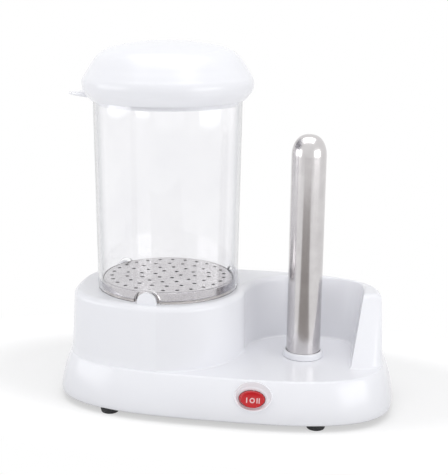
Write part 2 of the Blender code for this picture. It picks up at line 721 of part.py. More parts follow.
def build_feet(finish):
    """Make the four rubber feet, each plugged through the base plate."""
    pad_top = STANCE - CLEARANCE
    head_bottom = PLATE_TOP + CLEARANCE
    head_top = head_bottom + FOOT_HEAD_HEIGHT
    profile = [(0.0, 0.0), (FOOT_TREAD_RADIUS, 0.0), (FOOT_RADIUS, FOOT_CHAMFER), (FOOT_RADIUS, pad_top),
               (FOOT_NECK_RADIUS, pad_top), (FOOT_NECK_RADIUS, head_bottom), (FOOT_HEAD_RADIUS, head_bottom),
               (FOOT_NECK_RADIUS, head_top), (0.0, head_top)]
    for name, place in zip(FOOT_NAMES, foot_places()):
        add_object(name, turned(profile, 2 * SMALL_ROUND, place), finish)


def build_screw(name, place, seat, finish, points_up=True):
    """Make one screw whose head lies against a seat and whose shank runs up or down from it."""
    sign = 1.0 if points_up else -1.0
    head = seat - sign * CLEARANCE
    profile = [(0.0, head - sign * SCREW_HEAD_HEIGHT), (SCREW_HEAD_RADIUS, head - sign * SCREW_HEAD_HEIGHT),
               (SCREW_HEAD_RADIUS, head), (SCREW_RADIUS, head), (SCREW_RADIUS, head + sign * SCREW_LENGTH),
               (0.0, head + sign * SCREW_LENGTH)]
    return add_object(name, turned(profile, SMALL_ROUND, place), finish)


def build_base_screws(finish):
    """Make the screws that hold the base plate."""
    for number, place in enumerate(boss_places(), start=1):
        build_screw(f"base_screw_{number}", place, STANCE, finish)


# Boiler under and in the drum

def build_dish(finish):
    """Make the steel water dish with its flange and its upstand inside the container's foot."""
    bowl_inner = DISH_RADIUS - DISH_SHEET
    floor_top = DISH_FLOOR
    floor_under = DISH_FLOOR - DISH_SHEET
    upstand_top = FLANGE_TOP + DISH_UPSTAND
    upstand_inner = UPSTAND_RADIUS - DISH_SHEET
    profile = [(0.0, floor_under), (DISH_RADIUS - DISH_CORNER, floor_under),
               (DISH_RADIUS, floor_under + DISH_CORNER), (DISH_RADIUS, FLANGE_BOTTOM),
               (UPSTAND_RADIUS, FLANGE_BOTTOM), (UPSTAND_RADIUS, upstand_top), (upstand_inner, upstand_top),
               (upstand_inner, FLANGE_TOP), (bowl_inner, FLANGE_TOP), (bowl_inner, floor_top + DISH_CORNER),
               (bowl_inner - DISH_CORNER, floor_top), (0.0, floor_top)]
    return add_object("heating_dish", turned(profile, LARGE_ROUND, (DRUM_X, DRUM_Y)), finish)


def build_gasket(finish):
    """Make the seal ring between the ledge and the dish's flange."""
    inner = LEDGE_OPENING + RUNNING_GAP
    profile = [(inner, GASKET_BOTTOM), (inner + GASKET_WIDTH, GASKET_BOTTOM),
               (inner + GASKET_WIDTH, GASKET_BOTTOM + GASKET_HEIGHT), (inner, GASKET_BOTTOM + GASKET_HEIGHT)]
    return add_object("dish_gasket", turned(profile, LARGE_ROUND, (DRUM_X, DRUM_Y)), finish)


def build_rack(finish):
    """Make the perforated plate that the sausages stand on, with its turned-down rim."""
    top = RACK_BOTTOM + RACK_HEIGHT
    profile = [(0.0, top - RACK_SHEET), (RACK_RADIUS - RACK_SHEET, top - RACK_SHEET),
               (RACK_RADIUS - RACK_SHEET, RACK_BOTTOM), (RACK_RADIUS, RACK_BOTTOM),
               (RACK_RADIUS, top - RACK_EDGE), (RACK_RADIUS - RACK_EDGE, top), (0.0, top)]
    rack = add_object("sausage_rack", turned(profile, LARGE_ROUND, (DRUM_X, DRUM_Y)), finish)
    holes = []
    for share, count in RACK_HOLE_RING_SHARES:
        for number in range(count):
            turn = 2 * math.pi * number / count
            x = DRUM_X + share * RACK_RADIUS * math.cos(turn)
            y = DRUM_Y + share * RACK_RADIUS * math.sin(turn)
            holes.append(box((RACK_HOLE_SIZE, RACK_HOLE_SIZE, 2 * OVERRUN), (x, y, top)))
    cut(rack, "rack_holes", joined(holes))
    return rack


def build_spreader(finish):
    """Make the aluminium heat spreader with the stud that draws the dish down."""
    stud_bottom = SPREADER_BOTTOM - STUD_LENGTH
    profile = [(0.0, stud_bottom), (STUD_RADIUS, stud_bottom), (STUD_RADIUS, SPREADER_BOTTOM),
               (SPREADER_RADIUS, SPREADER_BOTTOM), (SPREADER_RADIUS, SPREADER_TOP), (0.0, SPREADER_TOP)]
    return add_object("heat_spreader", turned(profile, MEDIUM_ROUND, (DRUM_X, DRUM_Y)), finish)


def add_tube(name, points, radius, finish, resolution=2):
    """Add a round tube along a list of points, as a curve with filled ends."""
    curve = bpy.data.curves.new(name, "CURVE")
    curve.dimensions = "3D"
    curve.bevel_depth = radius
    curve.bevel_resolution = resolution
    curve.use_fill_caps = True
    spline = curve.splines.new("POLY")
    spline.points.add(len(points) - 1)
    for slot, point in zip(spline.points, points):
        slot.co = (*point, 1.0)
    curve.materials.append(finish)
    obj = bpy.data.objects.new(name, curve)
    bpy.context.collection.objects.link(obj)
    return obj


def heater_end(side):
    """Return the outer end of one leg of the ring heater; side is -1 or 1."""
    reach = HEATER_RING_RADIUS + HEATER_END_LENGTH
    return Vector((DRUM_X + side * HEATER_END_SPREAD, DRUM_Y + reach, HEATER_HEIGHT))


def build_ring_heater(finish):
    """Make the tubular element: an open ring whose two ends point to the back."""
    half_gap = math.asin(HEATER_END_SPREAD / HEATER_RING_RADIUS) + HEATER_TUBE_RADIUS / HEATER_RING_RADIUS
    first = math.pi / 2 + half_gap
    sweep = 2 * math.pi - 2 * half_gap
    points = [heater_end(-1)]
    for step in range(HEATER_RING_POINTS + 1):
        turn = first + sweep * step / HEATER_RING_POINTS
        points.append(Vector((DRUM_X + HEATER_RING_RADIUS * math.cos(turn),
                              DRUM_Y + HEATER_RING_RADIUS * math.sin(turn), HEATER_HEIGHT)))
    points.append(heater_end(1))
    return add_tube("ring_heater", points, HEATER_TUBE_RADIUS, finish)


def build_bracket(finish):
    """Make the steel bridge that carries the dish's stud between two posts of the drum."""
    size = (2 * (BRACKET_REACH + BRACKET_END), BRACKET_WIDTH, BRACKET_SHEET)
    middle = (DRUM_X, DRUM_Y, BRACKET_TOP - BRACKET_SHEET / 2)
    bracket = add_object("bridge_bracket", box(size, middle), finish)
    low, high = BRACKET_BOTTOM - OVERRUN, BRACKET_TOP + OVERRUN
    cut(bracket, "stud_hole", rod(STUD_RADIUS + CLEARANCE, (DRUM_X, DRUM_Y, low), (DRUM_X, DRUM_Y, high)))
    for number, (x, y) in enumerate(bracket_boss_places(), start=1):
        cut(bracket, f"bracket_hole_{number}", rod(PILOT_RADIUS, (x, y, low), (x, y, high)))
        build_screw(f"bracket_screw_{number}", (x, y), BRACKET_BOTTOM, finish)
    return bracket


def build_nut(finish):
    """Make the hexagon nut on the stud, under the bridge."""
    top = BRACKET_BOTTOM - CLEARANCE
    shape = rod(NUT_RADIUS, (DRUM_X, DRUM_Y, top - NUT_HEIGHT), (DRUM_X, DRUM_Y, top), HEX_SIDES)
    nut = add_object("bracket_nut", shape, finish)
    cut(nut, "nut_hole", rod(STUD_RADIUS + CLEARANCE, (DRUM_X, DRUM_Y, top - NUT_HEIGHT - OVERRUN),
                             (DRUM_X, DRUM_Y, top + OVERRUN)))
    return nut


def thermostat_bottom():
    """Return the middle of the thermostat's lower face."""
    return Vector((DRUM_X, DRUM_Y + THERMOSTAT_OFFSET, SPREADER_BOTTOM - CLEARANCE - THERMOSTAT_HEIGHT))


def build_thermostat(finish):
    """Make the thermostat against the spreader, inside the heater's ring."""
    low = thermostat_bottom()
    high = low + LIFT_AXIS * THERMOSTAT_HEIGHT
    return add_object("thermostat", rod(THERMOSTAT_RADIUS, low, high, 2 * SMALL_ROUND), finish)


def fuse_ends():
    """Return the two ends of the thermal fuse, which lies along Y under the heater's ring."""
    height = HEATER_HEIGHT - HEATER_TUBE_RADIUS - CLEARANCE - FUSE_RADIUS
    aside = HEATER_RING_RADIUS * FUSE_ASIDE_SHARE
    back = HEATER_RING_RADIUS * FUSE_BACK_SHARE
    middle = Vector((DRUM_X - aside, DRUM_Y + back, height))
    half = Vector((0.0, FUSE_LENGTH / 2, 0.0))
    return middle - half, middle + half


def build_fuse(finish):
    """Make the thermal fuse that lies against the heater's tube."""
    return add_object("thermal_fuse", rod(FUSE_RADIUS, *fuse_ends()), finish)


# Container and lid

def build_container(finish):
    """Make the clear container with its three arched notches."""
    low, high = CONTAINER_FOOT, CONTAINER_TOP
    outer_top = CONTAINER_RADIUS + CONTAINER_DRAFT
    inner_top = outer_top - CONTAINER_WALL
    profile = [(CONTAINER_BORE, low), (CONTAINER_RADIUS - CONTAINER_EDGE, low),
               (CONTAINER_RADIUS, low + CONTAINER_EDGE), (outer_top, high - CONTAINER_EDGE),
               (outer_top - CONTAINER_EDGE, high), (inner_top, high)]
    container = add_object("container", turned(profile, LARGE_ROUND, (DRUM_X, DRUM_Y)), finish)
    notch_half = LUG_WIDTH / 2 + LUG_GAP
    outline = lug_outline(notch_half, LUG_HEIGHT + LUG_GAP, OVERRUN)
    for number, angle in enumerate(lug_angles()):
        inner, outer = CONTAINER_BORE - OVERRUN, CONTAINER_RADIUS + OVERRUN
        cut(container, f"notch_{number}", lug_mesh(angle, outline, inner, outer, RIM_HEIGHT))
    return container


def lid_outer_points():
    """Return the lid's outer profile from its lip to the middle of its dome."""
    points = [(LID_RADIUS * radius, LID_BOTTOM + LID_HEIGHT * height) for radius, height in LID_OUTER_SHARES]
    return points + [(0.0, LID_BOTTOM + LID_HEIGHT)]


def moved_in(points, distance):
    """Return a profile moved in by a wall, square to the line between each point's neighbours."""
    moved = []
    for before, point, after in zip(points, points[1:], points[2:]):
        along_r, along_z = after[0] - before[0], after[1] - before[1]
        length = math.hypot(along_r, along_z)
        moved.append((point[0] - distance * along_z / length, point[1] + distance * along_r / length))
    return moved


def build_lid(finish):
    """Make the domed lid with its inner skirt and thumb tab."""
    outer = lid_outer_points()
    floor = CONTAINER_TOP + CLEARANCE + LID_SHELF
    inside = [point for point in moved_in(outer, LID_WALL) if point[1] > floor]
    container_top_radius = CONTAINER_RADIUS + CONTAINER_DRAFT
    lip_inner = container_top_radius + RUNNING_GAP
    skirt_outer = container_top_radius - CONTAINER_WALL - RUNNING_GAP
    skirt_inner = skirt_outer - LID_SKIRT_WALL
    shelf = CONTAINER_TOP + CLEARANCE
    profile = [(0.0, outer[-1][1] - LID_WALL)] + inside[::-1]
    profile += [(skirt_inner, shelf + LID_SHELF), (skirt_inner, CONTAINER_TOP - LID_SKIRT),
                (skirt_outer, CONTAINER_TOP - LID_SKIRT), (skirt_outer, shelf), (lip_inner, shelf),
                (lip_inner, LID_BOTTOM), (lip_inner + LID_LIP, LID_BOTTOM)]
    profile += outer
    lid = add_object("lid", turned(profile, LARGE_ROUND, (DRUM_X, DRUM_Y)), finish)
    root = DRUM_X - LID_RADIUS * TAB_ROOT_SHARE
    length = LID_RADIUS * (1 - TAB_ROOT_SHARE) + TAB_REACH
    outline = []
    for step in range(TAB_POINTS + 1):
        turn = math.pi * step / TAB_POINTS
        outline.append((root - length * math.sin(turn), DRUM_Y + TAB_WIDTH / 2 * math.cos(turn)))
    low = LID_BOTTOM + TAB_HEIGHT_SHARE * LID_HEIGHT
    join(lid, "thumb_tab", prism(outline, low, low + TAB_THICKNESS))
    return lid


# Spike and its mounting

def build_spike(finish):
    """Make the closed steel spike with the flange that is clamped under the tray."""
    inner = SPIKE_RADIUS - SPIKE_SHEET
    tip_foot = SPIKE_TOP - SPIKE_TIP_LENGTH
    flange = SPIKE_RADIUS + SPIKE_FLANGE
    inside_length = SPIKE_TIP_LENGTH - SPIKE_SHEET
    inside = [(inner * radius, tip_foot + inside_length * height) for radius, height in SPIKE_TIP_SHARES]
    outside = [(SPIKE_RADIUS * radius, tip_foot + SPIKE_TIP_LENGTH * height)
               for radius, height in SPIKE_TIP_SHARES]
    profile = inside + [(inner, SPIKE_BOTTOM), (flange, SPIKE_BOTTOM), (flange, SPIKE_FLANGE_TOP),
                        (SPIKE_RADIUS, SPIKE_FLANGE_TOP)] + outside[::-1]
    return add_object("spike", turned(profile, MEDIUM_ROUND, (SPIKE_X, SPIKE_Y)), finish)


def build_collar(finish):
    """Make the white collar round the spike's foot, on the tray's floor."""
    inner = SLEEVE_BORE
    outer = inner + COLLAR_WALL
    low = FLOOR_HEIGHT + CLEARANCE
    high = low + COLLAR_HEIGHT
    profile = [(inner, low), (outer, low), (outer, high - COLLAR_CHAMFER), (outer - COLLAR_CHAMFER, high),
               (inner, high)]
    return add_object("spike_collar", turned(profile, MEDIUM_ROUND, (SPIKE_X, SPIKE_Y)), finish)


def build_spike_clamp(finish):
    """Make the clamp plate under the spike's flange, and its two screws."""
    half_length = CLAMP_REACH + CLAMP_END
    half_width = SPIKE_RADIUS + SPIKE_FLANGE
    place = Vector((SPIKE_X, SPIKE_Y, 0.0))
    rings = [[point + place for point in oval(half_length, half_width, height)]
             for height in (CLAMP_BOTTOM, CLAMP_TOP)]
    plate = add_object("spike_clamp", lofted(rings), finish)
    low, high = CLAMP_BOTTOM - OVERRUN, CLAMP_TOP + OVERRUN
    cut(plate, "clamp_middle", rod(CLAMP_HOLE_RADIUS, (SPIKE_X, SPIKE_Y, low), (SPIKE_X, SPIKE_Y, high),
                                   2 * SMALL_ROUND))
    for number, (x, y) in enumerate(clamp_boss_places(), start=1):
        cut(plate, f"clamp_hole_{number}", rod(PILOT_RADIUS, (x, y, low), (x, y, high)))
        build_screw(f"spike_screw_{number}", (x, y), CLAMP_BOTTOM, finish)
    return plate


def build_spike_heater(finish):
    """Make the ceramic heater core that stands inside the spike on the clamp plate."""
    low = CLAMP_TOP + CLEARANCE
    high = low + CORE_LENGTH
    core = rod(CORE_RADIUS, (SPIKE_X, SPIKE_Y, low), (SPIKE_X, SPIKE_Y, high), MEDIUM_ROUND)
    return add_object("spike_heater", core, finish)


# Switch

def sleeve_half_sizes():
    """Return the outer half sizes of the bezel's sleeve."""
    half_width = ROCKER_HALF_WIDTH + ROCKER_GAP + BEZEL_SLEEVE_WALL
    half_height = ROCKER_HALF_HEIGHT + ROCKER_GAP + BEZEL_SLEEVE_WALL
    return half_width, half_height


def build_bezel(finish, frame):
    """Make the oval dished bezel with the sleeve that carries the rocker's pin."""
    width, height = BEZEL_HALF_WIDTH, BEZEL_HALF_HEIGHT
    open_width, open_height = ROCKER_HALF_WIDTH + ROCKER_GAP, ROCKER_HALF_HEIGHT + ROCKER_GAP
    sleeve_width, sleeve_height = sleeve_half_sizes()
    back = CLEARANCE - BEZEL_SEAT
    front = BEZEL_PROUD
    rings = [oval(sleeve_width, sleeve_height, back), oval(width, height, back),
             oval(width, height, front - BEZEL_RIM / 2),
             oval(width - BEZEL_RIM / 2, height - BEZEL_RIM / 2, front),
             oval(width - BEZEL_RIM, height - BEZEL_RIM, front),
             oval(open_width, open_height, front - BEZEL_DISH),
             oval(open_width, open_height, -BEZEL_SLEEVE_DEPTH),
             oval(sleeve_width, sleeve_height, -BEZEL_SLEEVE_DEPTH)]
    bezel = add_object("switch_bezel", lofted(rings, closed=True), finish, frame)
    reach = sleeve_height + OVERRUN
    pin_hole = rod(PIVOT_RADIUS + CLEARANCE, (0.0, -reach, -PIVOT_DEPTH), (0.0, reach, -PIVOT_DEPTH))
    cut(bezel, "bezel_pin_hole", pin_hole, frame)
    return bezel


def build_rocker(finish, frame):
    """Make the red rocker with its pin hole; it tips from side to side."""
    width, height = ROCKER_HALF_WIDTH, ROCKER_HALF_HEIGHT
    rings = [oval(width, height, -ROCKER_DEPTH), oval(width, height, ROCKER_PROUD - ROCKER_EDGE),
             oval(width - ROCKER_EDGE, height - ROCKER_EDGE, ROCKER_PROUD)]
    pivot = add_frame("rocker_axis", (0.0, 0.0, -PIVOT_DEPTH), (0.0, 0.0, 0.0))
    pivot.parent = frame
    up = Vector((0.0, 0.0, PIVOT_DEPTH))
    shape = lofted([[point + up for point in ring] for ring in rings])
    rocker = add_object("switch_rocker", shape, finish, pivot)
    reach = height + OVERRUN
    hole = rod(PIVOT_RADIUS + CLEARANCE, (0.0, -reach, 0.0), (0.0, reach, 0.0))
    cut(rocker, "rocker_pin_hole", hole, pivot)
    return rocker


def build_pivot_pin(finish, frame):
    """Make the pin that the rocker tips about, held at both ends by the bezel's sleeve."""
    reach = sleeve_half_sizes()[1] - CLEARANCE
    pin = rod(PIVOT_RADIUS, (0.0, -reach, -PIVOT_DEPTH), (0.0, reach, -PIVOT_DEPTH))
    return add_object("switch_pin", pin, finish, frame)


def switch_body_back():
    """Return the depth of the switch body's rear face in the switch's frame."""
    return -BEZEL_SLEEVE_DEPTH - CLEARANCE - SWITCH_BODY_DEPTH


def build_switch_body(finish, metal, frame):
    """Make the contact block behind the bezel's sleeve, and its three terminals."""
    width, height = (2 * (half - SWITCH_BODY_INSET) for half in sleeve_half_sizes())
    size = (width, height, SWITCH_BODY_DEPTH)
    middle = switch_body_back() + SWITCH_BODY_DEPTH / 2
    add_object("switch_body", box(size, (0.0, 0.0, middle)), finish, frame)
    for number, name in enumerate(TAB_TERMINAL_NAMES):
        x = (number - 1) * TAB_TERMINAL_PITCH
        depth = switch_body_back() - CLEARANCE - TAB_TERMINAL_LENGTH / 2
        tab_size = (TAB_TERMINAL_SHEET, TAB_TERMINAL_WIDTH, TAB_TERMINAL_LENGTH)
        add_object(name, box(tab_size, (x, 0.0, depth)), metal, frame)


def switch_place():
    """Return the switch frame's origin and turn on the front face."""
    lean = face_lean(SWITCH_X, SWITCH_HEIGHT)
    place = Vector((SWITCH_X, -front_depth(SWITCH_X, SWITCH_HEIGHT), SWITCH_HEIGHT))
    return place, (math.pi / 2 - lean, 0.0, 0.0)


def terminal_end(number):
    """Return the free end of a switch terminal in the cooker's own frame."""
    place, turn = switch_place()
    lean = math.pi / 2 - turn[0]
    depth = -switch_body_back() + 2 * CLEARANCE + TAB_TERMINAL_LENGTH
    inward = Vector((0.0, math.cos(lean), -math.sin(lean)))
    return place + inward * depth + Vector(((number - 1) * TAB_TERMINAL_PITCH, 0.0, 0.0)), inward


# Cord inlet, terminal block and cord clamp

def gland_place():
    """Return the gland frame's origin and turn on the back face."""
    lean = face_lean(GLAND_X, GLAND_HEIGHT)
    place = Vector((GLAND_X, front_depth(GLAND_X, GLAND_HEIGHT), GLAND_HEIGHT))
    return place, (math.pi / 2 - lean, 0.0, math.pi)


def build_gland(finish, frame):
    """Make the rubber gland that the cord comes in through."""
    flange_back = CLEARANCE - GLAND_SEAT
    lip_front = -SKIN - 2 * CLEARANCE
    profile = [(GLAND_BORE, lip_front - GLAND_LIP_HEIGHT), (GLAND_NECK, lip_front - GLAND_LIP_HEIGHT),
               (GLAND_NECK + GLAND_LIP, lip_front), (GLAND_NECK, lip_front), (GLAND_NECK, flange_back),
               (GLAND_FLANGE, flange_back), (GLAND_FLANGE, flange_back + GLAND_FLANGE_HEIGHT / 2),
               (GLAND_FLANGE - GLAND_FLANGE_HEIGHT / 2, flange_back + GLAND_FLANGE_HEIGHT),
               (GLAND_BORE, flange_back + GLAND_FLANGE_HEIGHT)]
    return add_object("cord_gland", turned(profile, 2 * SMALL_ROUND), finish, frame)


def build_terminal_block(finish):
    """Make the terminal block on the base plate, with the wells of its three screws."""
    low = PLATE_TOP + CLEARANCE
    high = low + BLOCK_HEIGHT
    block = add_object("terminal_block", box((BLOCK_LENGTH, BLOCK_WIDTH, BLOCK_HEIGHT),
                                             (GLAND_X, BLOCK_Y, (low + high) / 2)), finish)
    for number in (-1, 0, 1):
        x = GLAND_X + number * BLOCK_PITCH
        cut(block, f"block_well_{number + 2}", rod(BLOCK_WELL_RADIUS, (x, BLOCK_Y, high - BLOCK_WELL_DEPTH),
                                                   (x, BLOCK_Y, high + OVERRUN)))
    return block


def build_cord_clamp(finish, metal):
    """Make the strap that holds the cord down between two posts, and its screws."""
    length = 2 * (CLAMP_POST_PITCH + CLAMP_POST_RADIUS)
    low = CLAMP_POST_TOP + CLEARANCE
    high = low + CORD_CLAMP_SHEET
    strap = add_object("cord_clamp", box((length, CORD_CLAMP_WIDTH, CORD_CLAMP_SHEET),
                                         (GLAND_X, CORD_CLAMP_Y, (low + high) / 2)), finish)
    for number, (x, y) in enumerate(clamp_post_places(), start=1):
        cut(strap, f"strap_hole_{number}", rod(PILOT_RADIUS, (x, y, low - OVERRUN), (x, y, high + OVERRUN)))
        build_screw(f"cord_clamp_screw_{number}", (x, y), high, metal, points_up=False)
    return strap


# Leads

def smooth_route(points):
    """Return points along a smooth curve through a route's own points, with no overshoot at short spans."""
    padded = [points[0], *points, points[-1]]
    headings = [(after - before).normalized() for before, after in zip(padded, padded[2:])]
    route = []
    for start, end, leaving, arriving in zip(points, points[1:], headings, headings[1:]):
        span = (end - start).length
        for step in range(LEAD_POINTS_PER_SPAN):
            t = step / LEAD_POINTS_PER_SPAN
            weight_start = 2 * t ** 3 - 3 * t ** 2 + 1
            weight_leaving = t ** 3 - 2 * t ** 2 + t
            weight_arriving = t ** 3 - t ** 2
            point = start * weight_start + end * (1 - weight_start)
            route.append(point + (leaving * weight_leaving + arriving * weight_arriving) * span)
    return route + [points[-1]]


def block_pole(number):
    """Return where a lead meets the front of the terminal block, for pole -1, 0 or 1."""
    height = PLATE_TOP + CLEARANCE + BLOCK_HEIGHT / 2
    return Vector((GLAND_X + number * BLOCK_PITCH, BLOCK_Y - BLOCK_WIDTH / 2 - CLEARANCE, height))


def block_end():
    """Return where a lead meets the left end of the terminal block."""
    height = PLATE_TOP + CLEARANCE + BLOCK_HEIGHT / 2
    return Vector((GLAND_X - BLOCK_LENGTH / 2 - CLEARANCE, BLOCK_Y, height))


def core_end(side):
    """Return where a lead meets the underside of the spike's heater core."""
    return Vector((SPIKE_X + side * CORE_LEAD_PITCH, SPIKE_Y, CLAMP_TOP))


def thermostat_end(side):
    """Return where a lead meets the underside of the thermostat."""
    return thermostat_bottom() + Vector((side * THERMOSTAT_LEAD_PITCH, 0.0, -CLEARANCE))


def route_place(across, along, rise):
    """Return a place inside the housing, where rise is 0 on the plate, 1 at the floor and 2 at the rim."""
    height = PLATE_TOP + rise * (FLOOR_HEIGHT - PLATE_TOP)
    if rise > 1.0:
        height = FLOOR_HEIGHT + (rise - 1.0) * (RIM_HEIGHT - FLOOR_HEIGHT)
    return Vector((BASE_WIDTH / 2 * across, BASE_DEPTH / 2 * along, height))


def add_lead(name, start, start_out, shares, end, end_out, finish):
    """Add one insulated lead that leaves both its ends straight and follows a table of places between."""
    middle = [route_place(*place) for place in shares]
    route = [start, start + start_out * LEAD_STRAIGHT, *middle, end + end_out * LEAD_STRAIGHT, end]
    return add_tube(name, smooth_route(route), LEAD_RADIUS, finish)


def build_leads(brown, blue, green):
    """Make the leads between the terminal block, the switch, the heaters and the bridge."""
    down, back, left = -LIFT_AXIS, Vector((0.0, 1.0, 0.0)), Vector((-1.0, 0.0, 0.0))
    front = -back
    ends = [terminal_end(number) for number in range(len(TAB_TERMINAL_NAMES))]
    add_lead("live_lead", block_pole(-1), front, LIVE_ROUTE_SHARES, *ends[0], brown)
    add_lead("boiler_lead", *ends[1], BOILER_ROUTE_SHARES, thermostat_end(1), down, brown)
    add_lead("spike_lead", *ends[2], SPIKE_ROUTE_SHARES, core_end(-1), down, brown)
    add_lead("spike_return_lead", core_end(1), down, RETURN_ROUTE_SHARES, block_pole(1), front, blue)
    fuse_front, fuse_back = fuse_ends()
    fuse_front = fuse_front + front * CLEARANCE
    fuse_back = fuse_back + back * CLEARANCE
    add_lead("fuse_lead", thermostat_end(-1), down, (), fuse_front, front, brown)
    heater_live, heater_neutral = (heater_end(side) + back * CLEARANCE for side in (-1, 1))
    add_lead("heater_lead", fuse_back, back, HEATER_ROUTE_SHARES, heater_live, back, brown)
    add_lead("neutral_lead", heater_neutral, back, NEUTRAL_ROUTE_SHARES, block_end(), left, blue)
    earth_point = Vector((DRUM_X + BRACKET_REACH - BRACKET_WIDTH / 2, DRUM_Y, BRACKET_BOTTOM - CLEARANCE))
    add_lead("earth_lead", block_pole(0), front, EARTH_ROUTE_SHARES, earth_point, down, green)


# The whole cooker

def main():
    """Build every piece of the cooker in its place."""
    for obj in list(bpy.data.objects):
        bpy.data.objects.remove(obj, do_unlink=True)

    white = material("white_plastic", (0.86, 0.85, 0.88), 0.22)
    clear = material("clear_plastic", (0.93, 0.92, 0.95), 0.05, alpha=0.25)
    steel = material("polished_steel", (0.72, 0.70, 0.74), 0.22, 1.0)
    zinc = material("zinc_plate", (0.62, 0.63, 0.66), 0.38, 1.0)
    aluminium = material("aluminium", (0.76, 0.77, 0.79), 0.42, 1.0)
    dark_steel = material("heater_steel", (0.30, 0.30, 0.32), 0.45, 1.0)
    ceramic = material("heater_ceramic", (0.82, 0.79, 0.72), 0.70)
    red = material("red_plastic", (0.62, 0.04, 0.06), 0.28)
    black = material("black_plastic", (0.03, 0.03, 0.035), 0.45)
    rubber = material("grey_rubber", (0.16, 0.16, 0.18), 0.80)
    silicone = material("seal_silicone", (0.75, 0.72, 0.70), 0.60)
    brass = material("terminal_brass", (0.75, 0.58, 0.30), 0.35, 1.0)
    beige = material("block_nylon", (0.80, 0.77, 0.68), 0.50)
    brown = material("brown_sleeve", (0.25, 0.11, 0.05), 0.50)
    blue = material("blue_sleeve", (0.06, 0.16, 0.45), 0.50)
    green = material("green_sleeve", (0.16, 0.42, 0.12), 0.50)

    switch_frame = add_frame("switch_frame", *switch_place())
    gland_frame = add_frame("gland_frame", *gland_place())

    build_housing(white, switch_frame, gland_frame)
    build_base_plate(black)
    build_feet(rubber)
    build_base_screws(zinc)
    build_gland(rubber, gland_frame)
    build_terminal_block(beige)
    build_cord_clamp(black, zinc)
    build_dish(steel)
    build_gasket(silicone)
    build_rack(steel)
    build_spreader(aluminium)
    build_ring_heater(dark_steel)
    build_bracket(zinc)
    build_nut(zinc)
    build_thermostat(black)
    build_fuse(ceramic)
    build_container(clear)
    build_lid(white)
    build_spike(steel)
    build_collar(white)
    build_spike_clamp(zinc)
    build_spike_heater(ceramic)
    build_bezel(white, switch_frame)
    build_rocker(red, switch_frame)
    build_pivot_pin(zinc, switch_frame)
    build_switch_body(black, brass, switch_frame)
    build_leads(brown, blue, green)


main()
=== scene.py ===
"""Looks of the countertop hot dog cooker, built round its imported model.

Every length is in metres. The cooker stands on the floor at z = 0 and its front faces -Y.
"""

import json
import logging
import math
from dataclasses import dataclass
from enum import Enum
from typing import Callable, Sequence

import bmesh
import bpy
from mathutils import Matrix, Vector

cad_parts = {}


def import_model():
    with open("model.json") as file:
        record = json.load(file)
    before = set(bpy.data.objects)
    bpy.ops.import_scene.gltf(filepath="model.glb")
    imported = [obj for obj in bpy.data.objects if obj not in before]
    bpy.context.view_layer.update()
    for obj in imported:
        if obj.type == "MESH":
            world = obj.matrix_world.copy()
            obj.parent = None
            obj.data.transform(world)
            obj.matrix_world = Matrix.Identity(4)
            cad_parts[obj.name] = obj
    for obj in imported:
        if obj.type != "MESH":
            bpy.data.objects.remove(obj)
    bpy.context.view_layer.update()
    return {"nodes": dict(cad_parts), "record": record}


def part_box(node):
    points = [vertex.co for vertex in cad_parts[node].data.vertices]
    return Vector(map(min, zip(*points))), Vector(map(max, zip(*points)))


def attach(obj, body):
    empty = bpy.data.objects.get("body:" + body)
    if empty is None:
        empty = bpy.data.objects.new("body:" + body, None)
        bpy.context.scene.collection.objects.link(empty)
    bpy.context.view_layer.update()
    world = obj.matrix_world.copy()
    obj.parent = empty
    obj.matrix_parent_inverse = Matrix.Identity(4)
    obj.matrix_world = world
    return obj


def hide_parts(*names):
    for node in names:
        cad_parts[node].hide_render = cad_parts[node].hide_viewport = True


MERGE_DISTANCE = 0.000004
OVERRUN = 0.004
SKIN_LIFT = 0.00002
NEGLIGIBLE = 0.00001
MICROMETRES = 1e6
HALF_TURN = math.pi
FULL_TURN = 2 * math.pi
QUARTER_TURN = math.pi / 2
SMOOTH_DEGREES = 32.0
OVAL_POINTS = 96
ROUND_STEPS = 128
DRUM_CENTRE = (-0.0510, 0.0020)
FULL_WHITE = (1.0, 1.0, 1.0, 1.0)

log = logging.getLogger("cooker")

Point = tuple[float, float]
Triple = tuple[float, float, float]
Piece = bpy.types.Object
Socket = bpy.types.NodeSocket
Tree = bpy.types.NodeTree
Value = Socket | float | tuple[float, ...]


class Body(Enum):
    """The parts of the cooker that move on their own."""

    BASE = "base"
    CONTAINER = "container"
    LID = "lid"
    RACK = "rack"
    ROCKER = "rocker"


class Slot(Enum):
    """The record's finishes."""

    WHITE = "white_plastic"
    CLEAR = "clear_plastic"
    STEEL = "polished_steel"
    ZINC = "zinc_plate"
    ALUMINIUM = "aluminium"
    HEATER_STEEL = "heater_steel"
    CERAMIC = "heater_ceramic"
    RED = "red_plastic"
    BLACK = "black_plastic"
    RUBBER = "grey_rubber"
    SILICONE = "seal_silicone"
    BRASS = "terminal_brass"
    NYLON = "block_nylon"
    BROWN = "brown_sleeve"
    BLUE = "blue_sleeve"
    GREEN = "green_sleeve"


# Working with Blender's operators

def pick_only(obj: Piece) -> None:
    """Select one object and make it active.

    Args:
        obj: The object.
    """
    if bpy.context.mode != "OBJECT":
        bpy.ops.object.mode_set(mode="OBJECT")
    bpy.ops.object.select_all(action="DESELECT")
    obj.select_set(True)
    bpy.context.view_layer.objects.active = obj


def in_edit_mode(obj: Piece, work: Callable[[], None]) -> None:
    """Run edit-mode work on one object and come back to object mode.

    Args:
        obj: The object that is edited.
        work: What is done while everything in it is selected.
    """
    pick_only(obj)
    bpy.ops.object.mode_set(mode="EDIT")
    bpy.ops.mesh.select_all(action="SELECT")
    work()
    bpy.ops.object.mode_set(mode="OBJECT")


